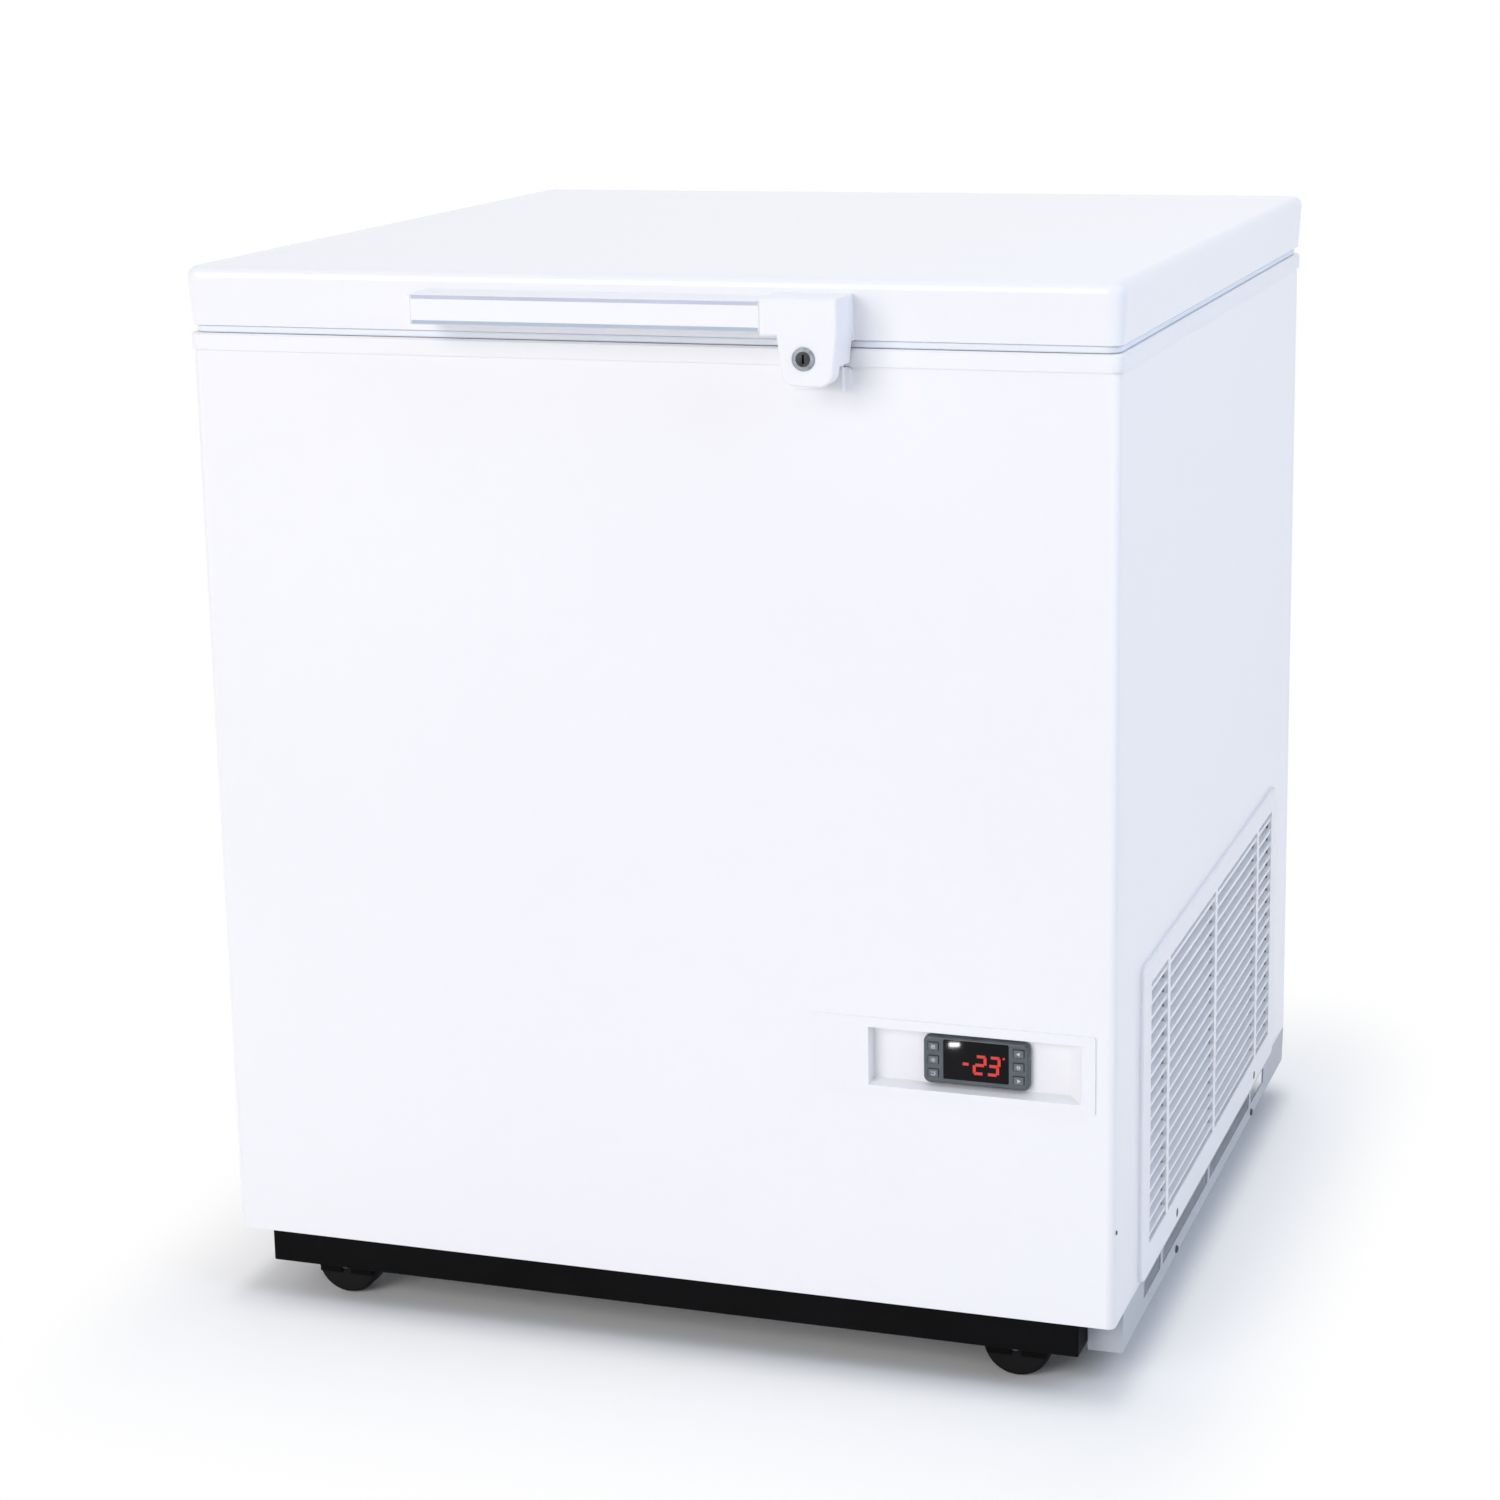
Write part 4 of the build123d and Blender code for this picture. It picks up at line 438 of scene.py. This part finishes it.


# handle shade lines: two strips along the channel's top and bottom edges, painted shade standing in for the
# shading of its rolled edges, a little darker than its face

handleShadeLines = {"height": 0.0027, "proud": 0.0002, "edge": 0.0004, "end": 0.001,
               "bevel": 0.0001, "segments": 2}
shadeLineLooks = {
    # painted shade: a lavender tone for the shading along the bar's top edge
    "handle_shade_line_top": {
        "tone": (0.50, 0.51, 0.64), "toneShift": (0.55, 0.56, 0.68), "cloudScale": 20.0,
        "roughness": (0.35, 0.45), "grainScale": 900.0, "bump": 0.05, "bumpDepth": 0.0002,
    },
    # painted shade: a bluish tone for the shadow along the bar's bottom edge
    "handle_shade_line_bottom": {
        "tone": (0.38, 0.46, 0.56), "toneShift": (0.43, 0.51, 0.61), "cloudScale": 20.0,
        "roughness": (0.35, 0.45), "grainScale": 900.0, "bump": 0.05, "bumpDepth": 0.0002,
    },
}


def makeHandleShadeLine(name, look, atTop):
    low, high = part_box("handle_bar")
    inward = look["edge"] + look["height"] / 2
    middleZ = high.z - inward if atTop else low.z + inward
    mesh = bmesh.new()
    made = bmesh.ops.create_cube(mesh, size=1.0)
    size = (high.x - low.x - 2 * look["end"], 2 * look["proud"], look["height"])
    bmesh.ops.scale(mesh, vec=size, verts=made["verts"])
    bmesh.ops.bevel(mesh, geom=mesh.edges[:], offset=look["bevel"], segments=look["segments"], profile=0.5,
                    affect="EDGES", material=-1)
    bmesh.ops.translate(mesh, vec=((low.x + high.x) / 2, low.y, middleZ), verts=mesh.verts)
    keepPiece(name, mesh, surfaceFinish(name, shadeLineLooks[name]), "lid")


for shadeLineName in shadeLineLooks:
    makeHandleShadeLine(shadeLineName, handleShadeLines, shadeLineName.endswith("top"))
print("handle lines made")


# gasket lip: the soft outer edge of the seal, which fills the line between lid and cabinet

gasketLip = {"reach": 0.0044, "clear": 0.0003, "corner": 0.012, "cornerSegments": 6,
             "round": 0.0016, "roundSegments": 3, "rimBand": 0.0036}


def isOuterRim(edge, outer, band):
    rises = [abs(face.normal.z) for face in edge.link_faces]
    turnsOver = min(rises) < 0.5 < max(rises)  # an upright face meets a flat one
    inside = max(max(abs(vert.co.x) - outer.x / 2, abs(vert.co.y) - outer.y / 2) for vert in edge.verts)
    return turnsOver and inside > -band


def makeGasketLip(look):
    low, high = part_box("lid_gasket")
    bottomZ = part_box("top_frame")[1].z + look["clear"]
    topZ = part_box("lid_shell")[0].z - look["clear"]
    middle = Vector(((low.x + high.x) / 2, (low.y + high.y) / 2, (bottomZ + topZ) / 2))
    outer = Vector((high.x - low.x + 2 * look["reach"], high.y - low.y + 2 * look["reach"], topZ - bottomZ))
    mesh = bmesh.new()
    made = bmesh.ops.create_cube(mesh, size=1.0)
    bmesh.ops.scale(mesh, vec=outer, verts=made["verts"])
    corners = [edge for edge in mesh.edges if edge.verts[0].co.z * edge.verts[1].co.z < 0]
    bmesh.ops.bevel(mesh, geom=corners, offset=look["corner"], segments=look["cornerSegments"], profile=0.5,
                    affect="EDGES", material=-1)
    caps = [face for face in mesh.faces if abs(face.normal.z) > 0.9]
    bmesh.ops.inset_region(mesh, faces=caps, thickness=look["reach"], depth=0)
    bmesh.ops.delete(mesh, geom=caps, context="FACES")
    bmesh.ops.bridge_loops(mesh, edges=[edge for edge in mesh.edges if edge.is_boundary])
    rim = [edge for edge in mesh.edges if isOuterRim(edge, outer, look["rimBand"])]
    bmesh.ops.bevel(mesh, geom=rim, offset=look["round"], segments=look["roundSegments"], profile=0.5,
                    affect="EDGES", material=-1)
    bmesh.ops.recalc_face_normals(mesh, faces=mesh.faces[:])
    bmesh.ops.translate(mesh, vec=middle, verts=mesh.verts)
    keepPiece("gasket_lip", mesh, finishes["seal_rubber"], "lid")


makeGasketLip(gasketLip)
print("gasket lip made")


# screws: a low bevelled head with a sunk socket, one mesh for each group

screwHead = {"sides": 20, "topShare": 0.8, "socketInset": 0.38, "socketDepth": 0.6}
screwGroups = {
    "grille_heads": {
        "body": "cabinet", "finish": darkSteel, "radius": 0.0042, "height": 0.0006, "lift": 0.00002,
    },
    "skirt_screws": {
        "body": "cabinet", "finish": darkSteel, "radius": 0.0034, "height": 0.0014,
        "behind": (0.234, 0.567), "up": 0.005, "lean": 0.001,
    },
    "panel_screws": {
        "body": "cabinet", "finish": finishes["bright_steel"], "radius": 0.0038, "height": 0.0016,
        "across": (0.03, 0.27, 0.5, 0.73, 0.97), "up": 0.012, "down": 0.06,
    },
    "edge_screws": {
        "body": "cabinet", "finish": darkSteel, "radius": 0.0018, "height": 0.0006,
        "behind": 0.006, "z": 0.135,
    },
    "hinge_base_screws": {
        "body": "cabinet", "finish": finishes["bright_steel"], "radius": 0.0042, "height": 0.0022,
        "across": (0.2, 0.5, 0.8), "leaf": 0.002, "up": 0.012,
    },
    "hinge_arm_screws": {
        "body": "lid", "finish": finishes["bright_steel"], "radius": 0.0042, "height": 0.0022,
        "across": (0.18, 0.5, 0.82), "band": 0.0005, "down": 0.007,
    },
}
towardRight, towardBack = Vector((1, 0, 0)), Vector((0, 1, 0))


def addScrew(mesh, place, facing, radius, height, head):
    first = len(mesh.verts)
    made = bmesh.ops.create_cone(mesh, cap_ends=True, segments=head["sides"], radius1=radius,
                                 radius2=radius * head["topShare"], depth=height)
    faces = [face for vert in made["verts"] for face in vert.link_faces]
    top = max(faces, key=lambda face: face.calc_center_median().z)
    bmesh.ops.inset_region(mesh, faces=[top], thickness=radius * head["socketInset"], depth=0)
    bmesh.ops.translate(mesh, vec=(0, 0, -height * head["socketDepth"]), verts=top.verts)
    mesh.verts.ensure_lookup_table()
    verts = mesh.verts[first:]
    turn = Vector((0, 0, 1)).rotation_difference(facing).to_matrix()
    bmesh.ops.rotate(mesh, matrix=turn, verts=verts)
    bmesh.ops.translate(mesh, vec=Vector(place) + facing.normalized() * height / 2, verts=verts)


def grilleSpots(look):  # over the frame's two screws, level with the grille's face
    low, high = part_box("grille_screws")
    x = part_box("side_grille")[1].x - look["height"] + look["lift"]
    z = (low.z + high.z) / 2
    radius = (high.z - low.z) / 2
    return [((x, y, z), towardRight) for y in (low.y + radius, high.y - radius)]


def skirtSpots(look):
    low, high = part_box("vent_skirt")
    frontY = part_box("front_panel")[0].y
    angle = math.atan2(look["lean"], high.z - low.z)  # the apron leans in towards the floor
    facing = Vector((math.cos(angle), 0, -math.sin(angle)))
    x = high.x - look["lean"] + look["up"] * math.tan(angle)
    return [((x, frontY + behind, low.z + look["up"]), facing) for behind in look["behind"]]


def panelSpots(look):
    low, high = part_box("back_panel")
    rows = (low.z + look["up"], high.z - look["down"])
    columns = [low.x + across * (high.x - low.x) for across in look["across"]]
    return [((x, high.y, z), towardBack) for x in columns for z in rows]


def edgeSpots(look):
    low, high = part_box("front_panel")
    return [((high.x, low.y + look["behind"], look["z"]), towardRight)]


def hingeBaseSpots(look):
    spots = []
    for side in ("left", "right"):
        low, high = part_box("hinge_base_" + side)
        for across in look["across"]:
            x = low.x + across * (high.x - low.x)
            spots.append(((x, low.y + look["leaf"], low.z + look["up"]), towardBack))
    return spots


def hingeArmSpots(look):
    spots = []
    for side in ("left", "right"):
        low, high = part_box("hinge_arm_" + side)
        verts = nodes["hinge_arm_" + side].data.vertices
        faceY = max(vert.co.y for vert in verts if vert.co.z > high.z - look["band"])
        for across in look["across"]:
            x = low.x + across * (high.x - low.x)
            spots.append(((x, faceY, high.z - look["down"]), towardBack))
    return spots


screwSpots = {
    "grille_heads": grilleSpots, "skirt_screws": skirtSpots, "panel_screws": panelSpots,
    "edge_screws": edgeSpots, "hinge_base_screws": hingeBaseSpots, "hinge_arm_screws": hingeArmSpots,
}


def makeScrews(name, look):
    mesh = bmesh.new()
    for place, facing in screwSpots[name](look):
        addScrew(mesh, place, facing, look["radius"], look["height"], screwHead)
    keepPiece(name, mesh, look["finish"], look["body"])


for screwName, screwLook in screwGroups.items():
    makeScrews(screwName, screwLook)
print("screws made")


# stage: a pale floor that turns into the white backdrop, soft lamps, the photograph's camera

floorLook = {
    "size": 12.0, "sideEdge": 0.008, "sideRate": 2.2, "underEdge": 0.06, "fadeEnd": 0.36, "leastWhite": 0.42,
    "paper": {
        "tone": (0.95, 0.955, 0.96), "toneShift": (0.96, 0.965, 0.97), "cloudScale": 2.0,
        "roughness": (0.7, 0.8), "grainScale": 60.0, "bump": 0.02, "bumpDepth": 0.0005,
    },
}


def makeFloor(look):
    mesh = bmesh.new()
    bmesh.ops.create_grid(mesh, x_segments=1, y_segments=1, size=look["size"] / 2)
    data = bpy.data.meshes.new("floor")
    mesh.to_mesh(data)
    mesh.free()
    floor = bpy.data.objects.new("floor", data)
    scene.collection.objects.link(floor)
    material = surfaceFinish("floor_paper", look["paper"])
    tree = material.node_tree
    place = tree.nodes.new("ShaderNodeTexCoord").outputs["Object"]
    steps = {}  # how far a point lies outside the footprint, measured from just under its edge
    for operation in ("ABSOLUTE", "SUBTRACT", "MAXIMUM", "MULTIPLY"):
        step = tree.nodes.new("ShaderNodeVectorMath")
        step.operation = operation
        tree.links.new(place, step.inputs[0])
        place = step.outputs["Vector"]
        steps[operation] = step
    footprint = (cadBox[1].x - look["sideEdge"], cadBox[1].y - look["underEdge"], 0)
    steps["SUBTRACT"].inputs[1].default_value = footprint
    steps["MULTIPLY"].inputs[1].default_value = (look["sideRate"], 1, 1)
    length = tree.nodes.new("ShaderNodeVectorMath")
    length.operation = "LENGTH"
    tree.links.new(place, length.inputs[0])
    reach = tree.nodes.new("ShaderNodeMapRange")
    reach.inputs["From Max"].default_value = look["fadeEnd"]
    tree.links.new(length.outputs["Value"], reach.inputs["Value"])
    fade = tree.nodes.new("ShaderNodeValToRGB")
    fade.color_ramp.interpolation = "EASE"
    edge = fade.color_ramp.elements.new(look["underEdge"] / look["fadeEnd"])
    edge.color = (look["leastWhite"], look["leastWhite"], look["leastWhite"], 1)
    tree.links.new(reach.outputs["Result"], fade.inputs["Fac"])
    rays = tree.nodes.new("ShaderNodeLightPath")
    seen = tree.nodes.new("ShaderNodeMath")
    seen.operation = "MAXIMUM"
    tree.links.new(rays.outputs["Is Camera Ray"], seen.inputs[0])
    tree.links.new(rays.outputs["Is Glossy Ray"], seen.inputs[1])
    share = tree.nodes.new("ShaderNodeMath")
    share.operation = "MULTIPLY"
    tree.links.new(fade.outputs["Color"], share.inputs[0])
    tree.links.new(seen.outputs["Value"], share.inputs[1])
    white = addNode(tree, "ShaderNodeEmission", Strength=1.0)
    mix = tree.nodes.new("ShaderNodeMixShader")
    tree.links.new(share.outputs["Value"], mix.inputs["Fac"])
    tree.links.new(tree.nodes["Principled BSDF"].outputs["BSDF"], mix.inputs[1])
    tree.links.new(white.outputs["Emission"], mix.inputs[2])
    tree.links.new(mix.outputs["Shader"], tree.nodes["Material Output"].inputs["Surface"])
    data.materials.append(material)


worldLook = {"fill": (0.91, 0.93, 1.0), "fillStrength": 0.42}


def makeWorld(look):
    world = bpy.data.worlds.new("studio")
    scene.world = world
    world.use_nodes = True
    tree = world.node_tree
    fill = tree.nodes["Background"]
    fill.inputs["Color"].default_value = (*look["fill"], 1)
    fill.inputs["Strength"].default_value = look["fillStrength"]
    white = addNode(tree, "ShaderNodeBackground", Strength=1.0)
    white.inputs["Color"].default_value = (1, 1, 1, 1)
    rays = tree.nodes.new("ShaderNodeLightPath")
    glossy = tree.nodes.new("ShaderNodeMath")
    glossy.operation = "MAXIMUM"
    tree.links.new(rays.outputs["Is Camera Ray"], glossy.inputs[0])
    tree.links.new(rays.outputs["Is Glossy Ray"], glossy.inputs[1])
    seen = tree.nodes.new("ShaderNodeMath")
    seen.operation = "MAXIMUM"
    tree.links.new(glossy.outputs["Value"], seen.inputs[0])
    tree.links.new(rays.outputs["Is Transmission Ray"], seen.inputs[1])
    mix = tree.nodes.new("ShaderNodeMixShader")
    tree.links.new(seen.outputs["Value"], mix.inputs["Fac"])
    tree.links.new(fill.outputs["Background"], mix.inputs[1])
    tree.links.new(white.outputs["Background"], mix.inputs[2])
    tree.links.new(mix.outputs["Shader"], tree.nodes["World Output"].inputs["Surface"])


lampLooks = {
    "keyLamp": {"place": (-2.6, -6.4, 2.8), "size": 4.0, "power": 240.0, "tone": (1.0, 0.970, 0.942)},
    "sideLamp": {"place": (2.9, -0.7, 2.7), "size": 2.4, "power": 51.0, "tone": (0.66, 0.79, 1.0)},
    "backLamp": {"place": (-1.1, 3.2, 3.0), "size": 3.0, "power": 36.0, "tone": (1.0, 1.0, 1.0)},
    "leftLamp": {"place": (-3.4, 1.6, 1.2), "size": 2.4, "power": 16.0, "tone": (1.0, 0.99, 0.985)},
    "topLamp": {"place": (0.3, -0.1, 3.6), "size": 2.4, "power": 14.0, "tone": (1.0, 0.965, 0.96)},
}


def makeLamps(looks):
    target = (cadBox[0] + cadBox[1]) / 2
    for name, look in looks.items():
        light = bpy.data.lights.new(name, "AREA")
        light.size = look["size"]
        light.energy = look["power"]
        light.color = look["tone"]
        lamp = bpy.data.objects.new(name, light)
        lamp.location = look["place"]
        lamp.rotation_euler = (target - lamp.location).to_track_quat("-Z", "Y").to_euler()
        lamp.visible_glossy = name == "keyLamp"  # the others would glare on the flat lid
        scene.collection.objects.link(lamp)


cameraLook = {
    "place": (0.872, -2.635, 1.095), "yaw": 19.03, "pitch": 12.78, "roll": -1.06,
    "lens": 79.7, "sensor": 36.0, "shiftY": -0.05,
}


def makeCamera(look):
    data = bpy.data.cameras.new("camera")
    data.lens = look["lens"]
    data.sensor_width = look["sensor"]
    data.shift_y = look["shiftY"]
    camera = bpy.data.objects.new("camera", data)
    turn = Matrix.Rotation(math.radians(look["yaw"]), 4, "Z")
    tilt = Matrix.Rotation(math.radians(90 - look["pitch"]), 4, "X")
    roll = Matrix.Rotation(math.radians(look["roll"]), 4, "Z")
    camera.matrix_world = Matrix.Translation(look["place"]) @ turn @ tilt @ roll
    scene.collection.objects.link(camera)
    scene.camera = camera


# a tiny lamp low in front, met by the camera in the display film's upper left

glintLook = {"across": 0.17, "down": 0.11, "away": 0.72, "width": 0.0098, "height": 0.0034, "power": 0.018}


def makeGlint(look):
    low, high = filmBox(displayFilm)
    spotX = low.x + look["across"] * (high.x - low.x)
    spotZ = high.z - look["down"] * (high.z - low.z)
    spot = Vector((spotX, low.y, spotZ))
    eye = Vector(cameraLook["place"])
    mirrored = Vector((eye.x, 2 * low.y - eye.y, eye.z))
    light = bpy.data.lights.new("windowGlint", "AREA")
    light.shape = "RECTANGLE"
    light.size = look["width"]
    light.size_y = look["height"]
    light.energy = look["power"]
    lamp = bpy.data.objects.new("windowGlint", light)
    lamp.location = spot + (spot - mirrored).normalized() * look["away"]
    lamp.rotation_euler = (spot - lamp.location).to_track_quat("-Z", "Y").to_euler()
    lamp.visible_camera = False
    scene.collection.objects.link(lamp)


makeFloor(floorLook)
makeWorld(worldLook)
makeGlint(glintLook)
makeLamps(lampLooks)
makeCamera(cameraLook)
scene.view_settings.view_transform = "Standard"
print("stage made")
